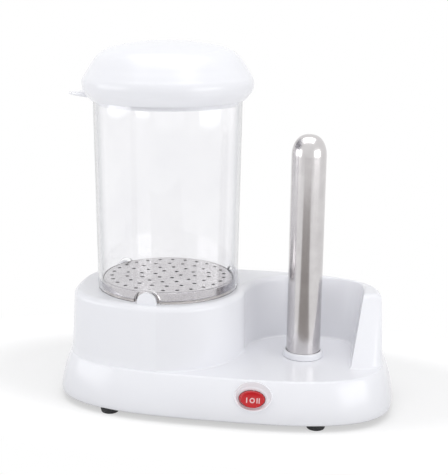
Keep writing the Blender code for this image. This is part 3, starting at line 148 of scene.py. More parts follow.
def clean_skin() -> None:
    """Merge doubles and turn the faces outwards, in edit mode."""
    bpy.ops.mesh.select_all(action="SELECT")
    bpy.ops.mesh.remove_doubles(threshold=MERGE_DISTANCE)
    bpy.ops.mesh.normals_make_consistent(inside=False)


def smooth_shade(piece: Piece, degrees: float = SMOOTH_DEGREES) -> None:
    """Shade a piece smooth, keep the edges sharper than an angle, and let the large faces stay flat.

    Args:
        piece: The piece.
        degrees: The angle from which an edge stays sharp.
    """
    pick_only(piece)
    bpy.ops.object.shade_smooth_by_angle(angle=math.radians(degrees))
    weigh = piece.modifiers.new("weigh", "WEIGHTED_NORMAL")
    weigh.keep_sharp = True
    bpy.ops.object.modifier_apply(modifier=weigh.name)


def combine(target: Piece, other: Piece, operation: str) -> None:
    """Join or cut one object with another, which is used up.

    Args:
        target: The object that keeps the result.
        other: The object that is joined on or cut away.
        operation: UNION or DIFFERENCE.
    """
    pick_only(target)
    step = target.modifiers.new(other.name, "BOOLEAN")
    step.operation = operation
    step.solver = "EXACT"
    step.object = other
    bpy.ops.object.modifier_apply(modifier=step.name)
    bpy.data.objects.remove(other, do_unlink=True)


def cut(target: Piece, *cutters: Piece) -> None:
    """Cut objects away from another one, in their order."""
    for cutter in cutters:
        combine(target, cutter, "DIFFERENCE")


def added(name: str, primitive: Callable[..., set[str]], **options: float | str) -> Piece:
    """Add a primitive with nothing else selected.

    Args:
        name: The new object's name.
        primitive: The operator that adds it.
        options: The operator's options.

    Returns:
        The new object.
    """
    bpy.ops.object.select_all(action="DESELECT")
    primitive(**options)
    made = bpy.context.object
    made.name = made.data.name = name
    return made


def loft(name: str, rings: Sequence[Sequence[Vector]]) -> Piece:
    """Build a closed skin through rings of equally many points.

    A circle is added and set out as the first ring, and each next ring is extruded from the one before.

    Args:
        name: The new object's name.
        rings: The rings, each a list of places in the same order.

    Returns:
        The new object, with its place in its mesh.
    """
    obj = added(name, bpy.ops.mesh.primitive_circle_add, vertices=len(rings[0]), radius=1.0, fill_type="NOTHING")
    for vertex, place in zip(obj.data.vertices, rings[0]):
        vertex.co = place

    def raise_rings() -> None:
        """Fill the first ring and extrude every next one from it."""
        bpy.ops.mesh.select_mode(type="VERT")
        bpy.ops.mesh.select_all(action="SELECT")
        bpy.ops.mesh.edge_face_add()
        for before, after in zip(rings, rings[1:]):
            seats = {near_key(place): number for number, place in enumerate(before)}
            bpy.ops.mesh.extrude_region_move()
            work = bmesh.from_edit_mesh(obj.data)
            for vertex in work.verts:
                if vertex.select:
                    vertex.co = after[seats[near_key(vertex.co)]]
            bmesh.update_edit_mesh(obj.data)
        clean_skin()

    in_edit_mode(obj, raise_rings)
    return obj


def near_key(place: Vector) -> tuple[int, ...]:
    """Return a place rounded to a micrometre, to find it again."""
    return tuple(round(part * MICROMETRES) for part in place)


def turned(name: str, profile: Sequence[Point], steps: int, centre: Point = (0.0, 0.0),
           closed: bool = False) -> Piece:
    """Turn a profile round an upright axis.

    A plane is merged to one point, the profile is extruded from it, and the line is spun.

    Args:
        name: The new object's name.
        profile: (radius, height) points.
        steps: How many steps the spin takes.
        centre: Where the axis stands.
        closed: Whether the last point joins the first, for a ring that doesn't reach the axis.

    Returns:
        The new object, with its place in its mesh.
    """
    obj = added(name, bpy.ops.mesh.primitive_plane_add, size=MERGE_DISTANCE)
    places = [Vector((centre[0] + radius, centre[1], height)) for radius, height in profile]

    def turn_line() -> None:
        """Draw the profile and spin it."""
        bpy.ops.mesh.merge(type="CENTER")
        bpy.ops.transform.translate(value=places[0])
        for before, after in zip(places, places[1:]):
            bpy.ops.mesh.extrude_region_move(TRANSFORM_OT_translate={"value": after - before})
        bpy.ops.mesh.select_all(action="SELECT")
        if closed:
            work = bmesh.from_edit_mesh(obj.data)
            work.verts.ensure_lookup_table()
            work.edges.new((work.verts[0], work.verts[-1]))
            bmesh.update_edit_mesh(obj.data)
            bpy.ops.mesh.select_all(action="SELECT")
        bpy.ops.mesh.spin(steps=steps, angle=FULL_TURN, center=(*centre, 0.0), axis=(0.0, 0.0, 1.0))
        clean_skin()

    in_edit_mode(obj, turn_line)
    return obj


def cylinder(name: str, radius: float, low: Vector, high: Vector, sides: int = 48) -> Piece:
    """Add a plain cylinder between two places, for a cutter.

    Args:
        name: The new object's name.
        radius: Its radius.
        low: The middle of one end.
        high: The middle of the other end.
        sides: How many sides it has.

    Returns:
        The new object, with its place in its mesh.
    """
    along = high - low
    obj = added(name, bpy.ops.mesh.primitive_cylinder_add, vertices=sides, radius=radius, depth=along.length)
    turn = along.to_track_quat("Z", "Y").to_matrix().to_4x4()
    obj.data.transform(Matrix.Translation((low + high) / 2) @ turn)
    return obj


def copied(source: Piece, name: str, place: Matrix) -> Piece:
    """Copy a piece with its own mesh and move the copy's mesh to its place.

    Args:
        source: The piece that is copied.
        name: The copy's name.
        place: What moves the copy to its place.

    Returns:
        The copy.
    """
    made = bpy.data.objects.new(name, source.data.copy())
    made.data.name = name
    made.data.transform(place)
    bpy.context.scene.collection.objects.link(made)
    return made


def middle_of(node: str) -> Vector:
    """Return the middle of a node's underside."""
    low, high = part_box(node)
    return Vector(((low[0] + high[0]) / 2, (low[1] + high[1]) / 2, low[2]))


def joined(objects: Sequence[Piece], name: str) -> Piece:
    """Join objects into the first of them.

    Args:
        objects: The objects.
        name: The name of the result.

    Returns:
        The joined object.
    """
    pick_only(objects[0])
    for obj in objects[1:]:
        obj.select_set(True)
    bpy.ops.object.join()
    made = bpy.context.view_layer.objects.active
    made.name = name
    return made


def rounded_line(corners: Sequence[Triple], steps: int = 6) -> list[Point]:
    """Return a line through corners, each rounded by its own radius.

    Args:
        corners: (across, up, radius) of each corner; the ends and sharp corners have radius 0.
        steps: How many steps a rounded corner takes.

    Returns:
        The points of the line.
    """
    points: list[Point] = []
    for number, (across, up, radius) in enumerate(corners):
        corner = Vector((across, up))
        if radius <= 0.0 or number in (0, len(corners) - 1):
            points.append((across, up))
            continue
        back = (Vector(corners[number - 1][:2]) - corner).normalized()
        ahead = (Vector(corners[number + 1][:2]) - corner).normalized()
        half = back.angle(ahead) / 2
        reach = radius / math.tan(half)
        middle = corner + (back + ahead).normalized() * (radius / math.sin(half))
        start = corner + back * reach - middle
        sweep = start.angle_signed(corner + ahead * reach - middle)
        for step in range(steps + 1):
            turn = -sweep * step / steps
            swung = Vector((start.x * math.cos(turn) - start.y * math.sin(turn),
                            start.x * math.sin(turn) + start.y * math.cos(turn)))
            points.append(tuple(middle + swung))
    return points


def curve_through(table: Sequence[Point], at: float) -> float:
    """Return the value of a smooth curve through (place, value) pairs.

    Args:
        table: The pairs, in rising order of place.
        at: The place that is asked for.

    Returns:
        The value there, without overshoot between the pairs.
    """
    if at <= table[0][0]:
        return table[0][1]
    if at >= table[-1][0]:
        return table[-1][1]
    slopes = [(b[1] - a[1]) / (b[0] - a[0]) for a, b in zip(table, table[1:])]
    leans = [slopes[0]]
    for before, after in zip(slopes, slopes[1:]):
        leans.append(0.0 if before * after <= 0.0 else 2 * before * after / (before + after))
    leans.append(slopes[-1])
    for number, (start, end) in enumerate(zip(table, table[1:])):
        if at <= end[0]:
            span = end[0] - start[0]
            t = (at - start[0]) / span
            rise = t * t * (3 - 2 * t)
            lead = t * (1 - t) * (1 - t) * span * leans[number]
            trail = t * t * (t - 1) * span * leans[number + 1]
            return start[1] * (1 - rise) + end[1] * rise + lead + trail
    return table[-1][1]


def held(share: float) -> float:
    """Return a share, held between 0 and 1."""
    return min(1.0, max(0.0, share))


def ease(low: float, high: float, at: float) -> float:
    """Return a soft step from 0 at one place to 1 at another."""
    t = held((at - low) / (high - low))
    return t * t * (3 - 2 * t)


def round_bite(share: float) -> float:
    """Return how far a quarter round of radius 1 stands back at a share of its height."""
    return 1 - math.sqrt(1 - held(share) ** 2)


def arc(steps: int, sweep: float = QUARTER_TURN) -> list[Point]:
    """Return the cosine and sine of evenly spaced turns from 0 to a sweep."""
    return [(math.cos(sweep * step / steps), math.sin(sweep * step / steps)) for step in range(steps + 1)]


def arch(half: float, straight: float, foot: float, steps: int) -> list[Point]:
    """Return the (across, up) outline of a doorway with a half-round top, from its left foot to its right one."""
    top = [(-half * cos, straight + half * sin) for cos, sin in arc(steps, HALF_TURN)]
    return [(-half, foot), *top, (half, foot)]


def mid_turns(count: int) -> list[float]:
    """Return the turn in the middle of each of so many equal steps round the circle."""
    return [FULL_TURN * (number + 0.5) / count for number in range(count)]


@dataclass(frozen=True)
class Facing:
    """A flat place on the shell, with its directions up and out."""

    middle: Triple
    up: Triple
    out: Triple

    def place(self, across: float, up: float, out: float) -> Vector:
        """Return the place that lies so far across, up and out from the middle."""
        rise, front = Vector(self.up), Vector(self.out)
        return Vector(self.middle) + rise.cross(front) * across + rise * up + front * out

    def matrix(self) -> Matrix:
        """Return what brings a piece that is modelled round the upright axis to this place.

        Returns:
            The matrix.
        """
        rise, front = Vector(self.up), Vector(self.out)
        turn = Matrix((rise.cross(front), rise, front)).transposed().to_4x4()
        return Matrix.Translation(self.middle) @ turn

    def oval(self, middle: Point, halves: Point, out: float, tilt: float = 0.0) -> list[Vector]:
        """Return an oval ring.

        Args:
            middle: Its middle, across and up.
            halves: Its half width and half height.
            out: How far out its middle lies.
            tilt: How much further out it lies for each length to the left.

        Returns:
            The ring's places.
        """
        ring = []
        for cos, sin in arc(OVAL_POINTS, FULL_TURN)[:-1]:
            across = middle[0] + halves[0] * cos
            ring.append(self.place(across, middle[1] + halves[1] * sin, out - tilt * across))
        return ring


SWITCH_FACE = Facing((0.0323, -0.07167, 0.0266), (0.0, 0.27657, 0.96100), (0.0, -0.96100, 0.27657))
GLAND_FACE = Facing((0.0406, 0.07257, 0.0220), (0.0, -0.23900, 0.97102), (0.0, 0.97102, 0.23900))


def superellipse(turn: float, half_width: float, half_depth: float, power: float) -> Point:
    """Return a point of a rounded rectangle at a turn round its centre.

    Args:
        turn: The turn round the centre.
        half_width: Half the width.
        half_depth: Half the depth.
        power: 2 for an ellipse, more for squarer corners.

    Returns:
        The point.
    """
    across, along = math.cos(turn), math.sin(turn)
    x = half_width * math.copysign(abs(across) ** (2 / power), across)
    y = half_depth * math.copysign(abs(along) ** (2 / power), along)
    return x, y


# Node groups and finishes

def fill(node: bpy.types.Node, values: dict[str | int, Value]) -> None:
    """Set a node's inputs: a socket is linked, anything else is their constant value.

    Args:
        node: The node.
        values: What its inputs get, by name or number.
    """
    for name, value in values.items():
        if isinstance(value, Socket):
            node.id_data.links.new(value, node.inputs[name])
        else:
            node.inputs[name].default_value = value


def add_node(tree: Tree, kind: str, values: dict[str | int, Value] | None = None, **settings: object
             ) -> bpy.types.Node:
    """Add a shader node.

    Args:
        tree: The tree that gets it.
        kind: Its type, without the word ShaderNode.
        values: What its inputs get.
        settings: Its own settings.

    Returns:
        The node.
    """
    node = tree.nodes.new("ShaderNode" + kind)
    for name, value in settings.items():
        setattr(node, name, value)
    fill(node, values or {})
    return node


def math_node(tree: Tree, operation: str, *values: Value) -> Socket:
    """Add a math node and return its result."""
    return add_node(tree, "Math", dict(enumerate(values)), operation=operation).outputs[0]


def noise(place: Socket, scale: Value, detail: float, roughness: float = 0.5, distortion: float = 0.0) -> Socket:
    """Add a noise texture on a place and return its value."""
    return add_node(place.id_data, "TexNoise", {"Vector": place, "Scale": scale, "Detail": detail,
                                                "Roughness": roughness, "Distortion": distortion}).outputs["Fac"]


def ramp(at: Socket, ends: Point, colours: Sequence[Triple]) -> Socket:
    """Add a ramp that goes from one colour to another between two places, and return its colour.

    Args:
        at: The value that picks the colour.
        ends: Where the ramp begins and ends.
        colours: The colours there.

    Returns:
        The colour.
    """
    node = add_node(at.id_data, "ValToRGB", {"Fac": at})
    for stop, end, colour in zip(node.color_ramp.elements, ends, colours):
        stop.position = end
        stop.color = (*colour, 1.0)
    return node.outputs["Color"]


def seen_by_eye(tree: Tree) -> Socket:
    """Return 1 for what the camera sees, also through clear plastic or in a mirror, and 0 for other light.

    Args:
        tree: The tree that gets the nodes.

    Returns:
        The socket with the 1 or 0.
    """
    paths = add_node(tree, "LightPath").outputs
    seen = math_node(tree, "MAXIMUM", paths["Is Camera Ray"], paths["Is Glossy Ray"])
    return math_node(tree, "MAXIMUM", seen, paths["Is Transmission Ray"])


def new_material(name: str) -> tuple[bpy.types.Material, bpy.types.Node]:
    """Start a material and return it with its Principled shader.

    Args:
        name: The material's name.

    Returns:
        The material and its shader.
    """
    made = bpy.data.materials.new(name)
    made.use_nodes = True
    return made, made.node_tree.nodes["Principled BSDF"]


def new_group(name: str, inputs: dict[str, float]) -> tuple[Tree, bpy.types.Node, bpy.types.Node]:
    """Start a group of shader nodes with the outputs Tone, Roughness and Height.

    Args:
        name: The group's name.
        inputs: The value of each of its inputs, by name.

    Returns:
        The group, its input node and its output node.
    """
    group = bpy.data.node_groups.new(name, "ShaderNodeTree")
    for label, value in inputs.items():
        made = group.interface.new_socket(name=label, in_out="INPUT", socket_type="NodeSocketFloat")
        made.default_value = value
    for label in ("Tone", "Roughness", "Height"):
        group.interface.new_socket(name=label, in_out="OUTPUT", socket_type="NodeSocketFloat")
    return group, group.nodes.new("NodeGroupInput"), group.nodes.new("NodeGroupOutput")


def worn_roughness(start: bpy.types.Node, wear: Socket) -> Socket:
    """Return a group's roughness, spread by a noise.

    Args:
        start: The group's input node.
        wear: The noise.

    Returns:
        The roughness.
    """
    tree = wear.id_data
    return math_node(tree, "MULTIPLY_ADD", math_node(tree, "SUBTRACT", wear, 0.5), start.outputs["Spread"],
                     start.outputs["Roughness"])


def moulded_surface_group() -> Tree:
    """Build the group of a moulded surface: faint mottle, fine grain and soft handling marks.

    Returns:
        A group with the inputs Mottle Scale, Grain Scale, Roughness and Spread.
    """
    group, start, end = new_group("moulded_surface", {"Mottle Scale": 30.0, "Grain Scale": 900.0,
                                                      "Roughness": 0.25, "Spread": 0.06})
    place = add_node(group, "TexCoord").outputs["Object"]
    marks = noise(place, scale=9.0, detail=6.0, roughness=0.7, distortion=0.8)
    fill(end, {"Tone": noise(place, start.outputs["Mottle Scale"], detail=4.0),
               "Roughness": worn_roughness(start, marks),
               "Height": noise(place, start.outputs["Grain Scale"], detail=2.0, roughness=0.6)})
    return group


def drawn_metal_group() -> Tree:
    """Build the group of drawn or polished metal: fine lines along one axis and faint tarnish.

    Returns:
        A group with the inputs Line Scale, Roughness, Spread and Length Scale.
    """
    group, start, end = new_group("drawn_metal", {"Line Scale": 1400.0, "Roughness": 0.2, "Spread": 0.12,
                                                  "Length Scale": 18.0})
    place = add_node(group, "TexCoord").outputs["Object"]
    parts = add_node(group, "SeparateXYZ", {0: place}).outputs
    scaled = [math_node(group, "MULTIPLY", parts[axis], start.outputs[scale])
              for axis, scale in (("X", "Line Scale"), ("Y", "Line Scale"), ("Z", "Length Scale"))]
    stretched = add_node(group, "CombineXYZ", dict(enumerate(scaled))).outputs[0]
    lines = noise(stretched, scale=1.0, detail=3.0, roughness=0.6)
    fill(end, {"Tone": noise(place, scale=55.0, detail=4.0, roughness=0.6),
               "Roughness": worn_roughness(start, lines), "Height": lines})
    return group


@dataclass(frozen=True)
class MouldedFinish:
    """A moulded or rubbery finish, which the other finishes build on."""

    light: Triple
    dark: Triple
    roughness: float
    spread: float = 0.05
    coarse: float = 24.0
    fine: float = 900.0
    depth: float = 0.02
    relief: float = 0.0002
    tone_ends: Point = (0.3, 0.7)
    scale_names: tuple[str, str] = ("Mottle Scale", "Grain Scale")

    def colour(self, tone: Socket) -> Socket:
        """Return the colour that goes with the surface's tone."""
        return ramp(tone, self.tone_ends, (self.dark, self.light))

    def constants(self) -> dict[str, float]:
        """Return the shader's own values."""
        return {}

    def make(self, name: str, group: Tree) -> bpy.types.Material:
        """Build the material.

        Args:
            name: The material's name.
            group: The surface group, which gives its tone, roughness and relief.

        Returns:
            The material.
        """
        made, shader = new_material(name)
        scales = dict(zip(self.scale_names, (self.coarse, self.fine)))
        surface = add_node(made.node_tree, "Group", {"Roughness": self.roughness, "Spread": self.spread, **scales},
                           node_tree=group).outputs
        bump = add_node(made.node_tree, "Bump", {"Strength": self.depth, "Distance": self.relief,
                                                 "Height": surface["Height"]})
        fill(shader, {"Base Color": self.colour(surface["Tone"]), "Roughness": surface["Roughness"],
                      "Normal": bump.outputs["Normal"], **self.constants()})
        return made


@dataclass(frozen=True)
class MetalFinish(MouldedFinish):
    """A bare metal finish, with fine lines along one axis."""

    spread: float = 0.1
    coarse: float = 18.0
    fine: float = 1400.0
    depth: float = 0.03
    relief: float = 0.0001
    scale_names: tuple[str, str] = ("Length Scale", "Line Scale")

    def constants(self) -> dict[str, float]:
        """Return the shader's own values."""
        return {"Metallic": 1.0}


@dataclass(frozen=True)
class ClearFinish(MouldedFinish):
    """The clear plastic of the container, with painted shade in its colour where it is seen edge on."""

    spread: float = 0.03
    coarse: float = 14.0
    fine: float = 240.0
    depth: float = 0.01
    tone_ends: Point = (0.35, 0.65)
    # Painted shade at the edges: the colour falls to this grey between these two Layer Weight facing values.
    painted_shade_facing: Point = (0.55, 0.90)
    edge_painted_shade: Triple = (0.46, 0.47, 0.50)
    ior: float = 1.49

    def colour(self, tone: Socket) -> Socket:
        """Return the colour that goes with the surface's tone, with painted shade towards the edges where the plastic
        is seen edge on.

        Args:
            tone: The surface group's tone.

        Returns:
            The colour.
        """
        # Painted shade: the base colour is multiplied darker where the plastic is seen edge on.
        facing = add_node(tone.id_data, "LayerWeight", {"Blend": 0.5}).outputs["Facing"]
        edge = ramp(facing, self.painted_shade_facing, (FULL_WHITE[:3], self.edge_painted_shade))
        mix = add_node(tone.id_data, "Mix", data_type="RGBA", blend_type="MULTIPLY")
        fill(mix, {"Factor": 1.0, 6: super().colour(tone), 7: edge})
        return mix.outputs[2]

    def constants(self) -> dict[str, float]:
        """Return the shader's own values."""
        return {"Transmission Weight": 1.0, "IOR": self.ior}


FINISHES: dict[Slot, MouldedFinish] = {
    Slot.WHITE: MouldedFinish((0.892, 0.897, 0.930), (0.880, 0.885, 0.920), 0.20, depth=0.012),
    Slot.RED: MouldedFinish((0.560, 0.004, 0.010), (0.500, 0.003, 0.008), 0.16, depth=0.01),
    Slot.BLACK: MouldedFinish((0.020, 0.020, 0.023), (0.012, 0.012, 0.014), 0.45, depth=0.25, fine=1600.0),
    Slot.RUBBER: MouldedFinish((0.020, 0.020, 0.022), (0.010, 0.010, 0.012), 0.62, depth=0.2, fine=1200.0),
    Slot.SILICONE: MouldedFinish((0.62, 0.58, 0.56), (0.55, 0.51, 0.49), 0.55),
    Slot.CERAMIC: MouldedFinish((0.72, 0.67, 0.56), (0.60, 0.55, 0.45), 0.75, depth=0.3, fine=700.0, coarse=90.0),
    Slot.NYLON: MouldedFinish((0.66, 0.61, 0.48), (0.60, 0.55, 0.42), 0.45),
    Slot.BROWN: MouldedFinish((0.105, 0.040, 0.018), (0.085, 0.030, 0.014), 0.42),
    Slot.BLUE: MouldedFinish((0.020, 0.070, 0.320), (0.015, 0.055, 0.260), 0.42),
    Slot.GREEN: MouldedFinish((0.055, 0.260, 0.035), (0.420, 0.380, 0.030), 0.42, coarse=70.0),
    Slot.STEEL: MetalFinish((0.660, 0.640, 0.645), (0.580, 0.560, 0.565), 0.20),
    Slot.ZINC: MetalFinish((0.46, 0.47, 0.50), (0.34, 0.35, 0.38), 0.36, coarse=900.0),
    Slot.ALUMINIUM: MetalFinish((0.60, 0.61, 0.63), (0.50, 0.51, 0.53), 0.42, coarse=900.0),
    Slot.HEATER_STEEL: MetalFinish((0.16, 0.14, 0.13), (0.08, 0.07, 0.075), 0.45, coarse=900.0),
    Slot.BRASS: MetalFinish((0.62, 0.42, 0.14), (0.50, 0.33, 0.11), 0.32, coarse=900.0),
    # The clear finish paints shade into its colour at the container's edges.
    Slot.CLEAR: ClearFinish((0.97, 0.97, 0.98), (0.93, 0.93, 0.945), 0.03),
}
PRINT_FINISH = MouldedFinish((0.86, 0.60, 0.60), (0.80, 0.54, 0.54), 0.40)


def make_finishes() -> tuple[dict[Slot, bpy.types.Material], bpy.types.Material]:
    """Build every finish.

    Returns:
        The material of each slot, and that of the switch's marks.
    """
    moulded, metal = moulded_surface_group(), drawn_metal_group()
    made = {slot: finish.make(slot.value, metal if isinstance(finish, MetalFinish) else moulded)
            for slot, finish in FINISHES.items()}
    return made, PRINT_FINISH.make("switch_print", moulded)


@dataclass
class Workshop:
    """What every sub-assembly needs to dress and hand over a piece."""

    finishes: dict[Slot, bpy.types.Material]
    print_finish: bpy.types.Material

    def hand_over(self, piece: Piece, body: Body, slot: Slot, *nodes: str) -> Piece:
        """Dress a piece, let it ride on its body and let it stand for its nodes.

        Args:
            piece: The finished piece.
            body: The body that it moves with.
            slot: The finish that it has.
            nodes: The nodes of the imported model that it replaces.

        Returns:
            The same piece.
        """
        piece.data.materials.clear()
        piece.data.materials.append(self.finishes[slot])
        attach(piece, body.value)
        if nodes:
            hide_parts(*nodes)
        log.info("%s: %d faces, rides on %s", piece.name, len(piece.data.polygons), body.value)
        return piece


# Housing

@dataclass
class Housing:
    """The white shell: flared plinth, drum under the container and tray wall, in one moulding."""

    half_width: float = 0.1399
    half_depth: float = 0.0760
    stance: float = 0.0050
    floor: float = 0.0390
    rim: float = 0.0926
    plan_power: float = 3.0
    flare: float = 0.0090
    wall_lean: float = 0.0030
    settle_rise: float = 0.10
    flare_shares: tuple[Point, ...] = ((0.0, 0.20), (0.012, 0.09), (0.035, 0.02), (0.08, 0.0), (0.20, 0.05),
                                       (0.41, 0.20), (0.71, 0.50), (0.91, 0.78), (1.0, 0.94))
    rim_fillet: float = 0.0050
    ledge_round: float = 0.0014
    outline_points: int = 288
    hollow_points: int = 120
    fillet_steps: int = 9
    drum_centre: Point = DRUM_CENTRE
    drum_foot: float = 0.0680
    drum_top: float = 0.0660
    drum_foot_round: float = 0.0012
    drum_steps: int = 110
    wall_steps: int = 70
    wall_foot: Point = (0.0006, 0.0013)
    swell: float = 0.0020
    swell_rise: float = 0.014
    swell_fall: Point = (0.030, 0.060)
    edge_rise: Point = (-0.135, -0.075)
    edge_fall: Point = (0.1235, 0.1290)
    edge_depth: float = 0.020
    joint_width: float = 0.0040
    joint_fall: Point = (-0.085, -0.055)
    arc_end: float = 0.0004
    arc_end_start: float = 0.83
    tray_middle: float = 0.0620
    tray_right: float = 0.1062
    tray_back: float = 0.0440
    tray_lean: float = 0.0073
    tray_left_power: float = 2.0
    tray_right_power: float = 4.3
    tray_corner: float = 0.0018
    tray_rim_round: float = 0.0018
    skin: float = 0.0025
    slope_foot: float = -0.0280
    slope_run: float = 0.0320
    slope_round: float = 0.0080
    slope_ends: Point = (0.0100, 0.0300)
    end_depth: float = 0.0160
    drum_opening: float = 0.0506
    switch_opening: Point = (0.0133, 0.0103)
    switch_depth: float = 0.0120
    gland_opening: float = 0.0058
    gland_depth: float = 0.0100
    lug_width: float = 0.0163
    lug_height: float = 0.0094
    lug_inner: float = 0.0566
    lug_outer: float = 0.0604
    lug_round: float = 0.0006
    lug_shoulder: float = 0.0002
    lug_turns: tuple[float, ...] = (-5.0, 115.0, 235.0)

    def inset(self, height: float) -> float:
        """Return how far the outside stands in from the full size at a height.

        Args:
            height: The height.

        Returns:
            The distance.
        """
        if height <= self.floor:
            share = (height - self.stance) / (self.floor - self.stance)
            return self.flare * curve_through(self.flare_shares, share)
        rise = (height - self.floor) / (self.rim - self.floor)
        joint = self.flare * self.flare_shares[-1][1]
        return joint + (self.flare - joint) * ease(0.0, self.settle_rise, rise) + self.wall_lean * rise

    def drum_radius(self, height: float) -> float:
        """Return the drum's radius at a height."""
        rise = max(0.0, (height - self.floor) / (self.rim - self.floor))
        return self.drum_foot + (self.drum_top - self.drum_foot) * rise

    def edge_share(self, x: float) -> float:
        """Return how strongly the plinth's top edge shows at a place along the front."""
        return ease(*self.edge_rise, x) * (1 - ease(*self.edge_fall, x))

    def outline_point(self, turn: float, inset: float, drum: float) -> Vector:
        """Return a point of the rounded base joined softly with the drum's circle.

        Args:
            turn: The direction of the point, as a turn of the rounded rectangle.
            inset: How far the rectangle stands in from its full size.
            drum: The drum's radius.

        Returns:
            The point, level at zero.
        """
        x, y = superellipse(turn, self.half_width - inset, self.half_depth - inset, self.plan_power)
        square = x * x + y * y
        along = x * self.drum_centre[0] + y * self.drum_centre[1]
        spare = self.drum_centre[0] ** 2 + self.drum_centre[1] ** 2 - drum ** 2
        under_root = along * along - square * spare
        reach = math.sqrt(square)
        if under_root > 0.0:
            to_drum = (along + math.sqrt(under_root)) / square * reach
            width = self.joint_width * (1 - ease(*self.joint_fall, x))
            gap = abs(to_drum - reach)
            soft = max(width - gap, 0.0) ** 2 / (4 * width) if width > NEGLIGIBLE else 0.0
            wide = max(to_drum, reach) + soft
            x, y = x * wide / reach, y * wide / reach
        return Vector((x, y, 0.0))

    def ledge_step(self, height: float) -> float:
        """Return how far the front stands in at a height: the plinth's rounded edge, then the wall behind it.

        Args:
            height: The height.

        Returns:
            The distance.
        """
        foot = self.floor - self.ledge_round
        if height <= foot:
            return 0.0
        if height > self.floor:
            return self.ledge_round * (self.rim - height) / (self.rim - self.floor)
        return self.ledge_round * round_bite((height - foot) / self.ledge_round)

    def outer_ring(self, height: float, step_in: float = 0.0) -> list[Vector]:
        """Return a level ring of the outside.

        Args:
            height: The ring's height.
            step_in: How far the rim's rounding has moved it in.

        Returns:
            The ring's points.
        """
        ring = []
        bite = self.ledge_step(height)
        level = min(height, self.rim - self.rim_fillet)
        inset, drum = self.inset(level) + step_in, self.drum_radius(level) - step_in
        for turn in mid_turns(self.outline_points):
            place = self.outline_point(turn, inset, drum)
            if bite > 0.0 and place.y < 0.0:
                share = bite * self.edge_share(place.x) * ease(0.0, self.edge_depth, -place.y)
                place = self.outline_point(turn, inset + share, drum - share)
            if height > self.floor + SKIN_LIFT and place.y < 0.0:
                full = ease(self.drum_centre[0], self.drum_centre[0] + self.swell_rise, place.x)
                full *= 1 - ease(*self.swell_fall, place.x)
                place *= 1 + full * self.swell / place.length
            place.z = height
            ring.append(place)
        return ring

    def outer_heights(self) -> list[float]:
        """Return the heights of the outside's rings below the rim's rounding.

        Returns:
            The heights, from the bottom up.
        """
        flare = [self.stance + share * (self.floor - self.stance)
                 for share in (0.0, 0.012, 0.035, 0.08, 0.14, 0.20, 0.30, 0.41, 0.50, 0.60, 0.71, 0.80, 0.87)]
        edge = [self.floor - self.ledge_round * share for share in (1.15, 0.8, 0.55, 0.35, 0.20, 0.08, 0.0)]
        wall_rise = self.rim - self.rim_fillet - self.floor
        wall = [self.floor + up for up in self.wall_foot]
        wall += [self.floor + wall_rise * share for share in (0.07, 0.13, 0.3, 0.5, 0.7, 0.88, 1.0)]
        return flare + edge + wall

    def build_outside(self) -> Piece:
        """Loft the outside from its bottom edge to its flat rim.

        Returns:
            The outside, closed.
        """
        rings = [self.outer_ring(height) for height in self.outer_heights()]
        for cos, sin in arc(self.fillet_steps)[1:]:
            rings.append(self.outer_ring(self.rim - self.rim_fillet * (1 - sin), self.rim_fillet * (1 - cos)))
        return loft("housing_shell", rings)

    def drum_reach(self, height: float) -> float:
        """Return the radius of the drum's surface at a height, with its rounded foot and its rounded rim.

        Args:
            height: The height.

        Returns:
            The radius.
        """
        reach = self.drum_radius(height) - self.ledge_step(height)
        reach += self.drum_foot_round * round_bite(1 - (height - self.floor) / self.drum_foot_round)
        return reach - self.rim_fillet * round_bite((height - self.rim + self.rim_fillet) / self.rim_fillet)

    def tray_ring(self, height: float, grown: float, reach: float) -> list[Vector]:
        """Return a level ring of the tray's space, open to the front and bounded by the drum.

        Args:
            height: The ring's height.
            grown: How far its walls are moved out.
            reach: The drum's radius there.

        Returns:
            The ring's points.
        """
        rise = (height - self.floor) / (self.rim - self.floor)
        lean = self.tray_lean * rise + grown
        front = -self.half_depth - OVERRUN
        centre = Vector(self.drum_centre)
        right = self.tray_right + lean - self.tray_middle
        left = self.tray_middle - centre.x - reach
        back = self.tray_back + lean - centre.y
        ring = [Vector((self.tray_middle + right, front, height))]
        for step in range(2 * self.wall_steps + 1):
            turn = QUARTER_TURN * step / self.wall_steps
            half, power = (left, self.tray_left_power) if step > self.wall_steps else (right, self.tray_right_power)
            x, y = superellipse(turn, half, back, power)
            ring.append(Vector((self.tray_middle + x, centre.y + y, height)))
        for step, (cos, sin) in enumerate(arc(self.drum_steps, -QUARTER_TURN)[1:], 1):
            out = reach + self.arc_end * ease(self.arc_end_start, 1.0, step / self.drum_steps)
            ring.append(Vector((centre.x + out * cos, centre.y + out * sin, height)))
        ring.append(Vector((centre.x, front, height)))
        return ring

    def build_tray_cutter(self) -> Piece:
        """Build the tray's space, with a rounded floor corner and a rounded rim.

        Returns:
            The cutter.
        """
        rings = []
        for cos, sin in arc(steps=6):
            height = self.floor + self.tray_corner * (1 - cos)
            rings.append(self.tray_ring(height, -self.tray_corner * (1 - sin), self.drum_reach(height)))
        foot, head = self.floor + self.tray_corner, self.rim - self.rim_fillet
        for share in (0.25, 0.5, 0.75, 1.0):
            height = foot + (head - foot) * share
            rings.append(self.tray_ring(height, 0.0, self.drum_reach(height)))
        for _, sin in arc(steps=12)[1:]:
            height = head + self.rim_fillet * sin
            bite = round_bite((height - self.rim + self.tray_rim_round) / self.tray_rim_round)
            ring = self.tray_ring(height, self.tray_rim_round * bite, self.drum_reach(height))
            rings.append([place + Vector((0.0, 0.0, SKIN_LIFT)) for place in ring])
        top = [Vector((place.x, place.y, self.rim + OVERRUN)) for place in rings[-1]]
        return loft("tray_space", rings + [top])

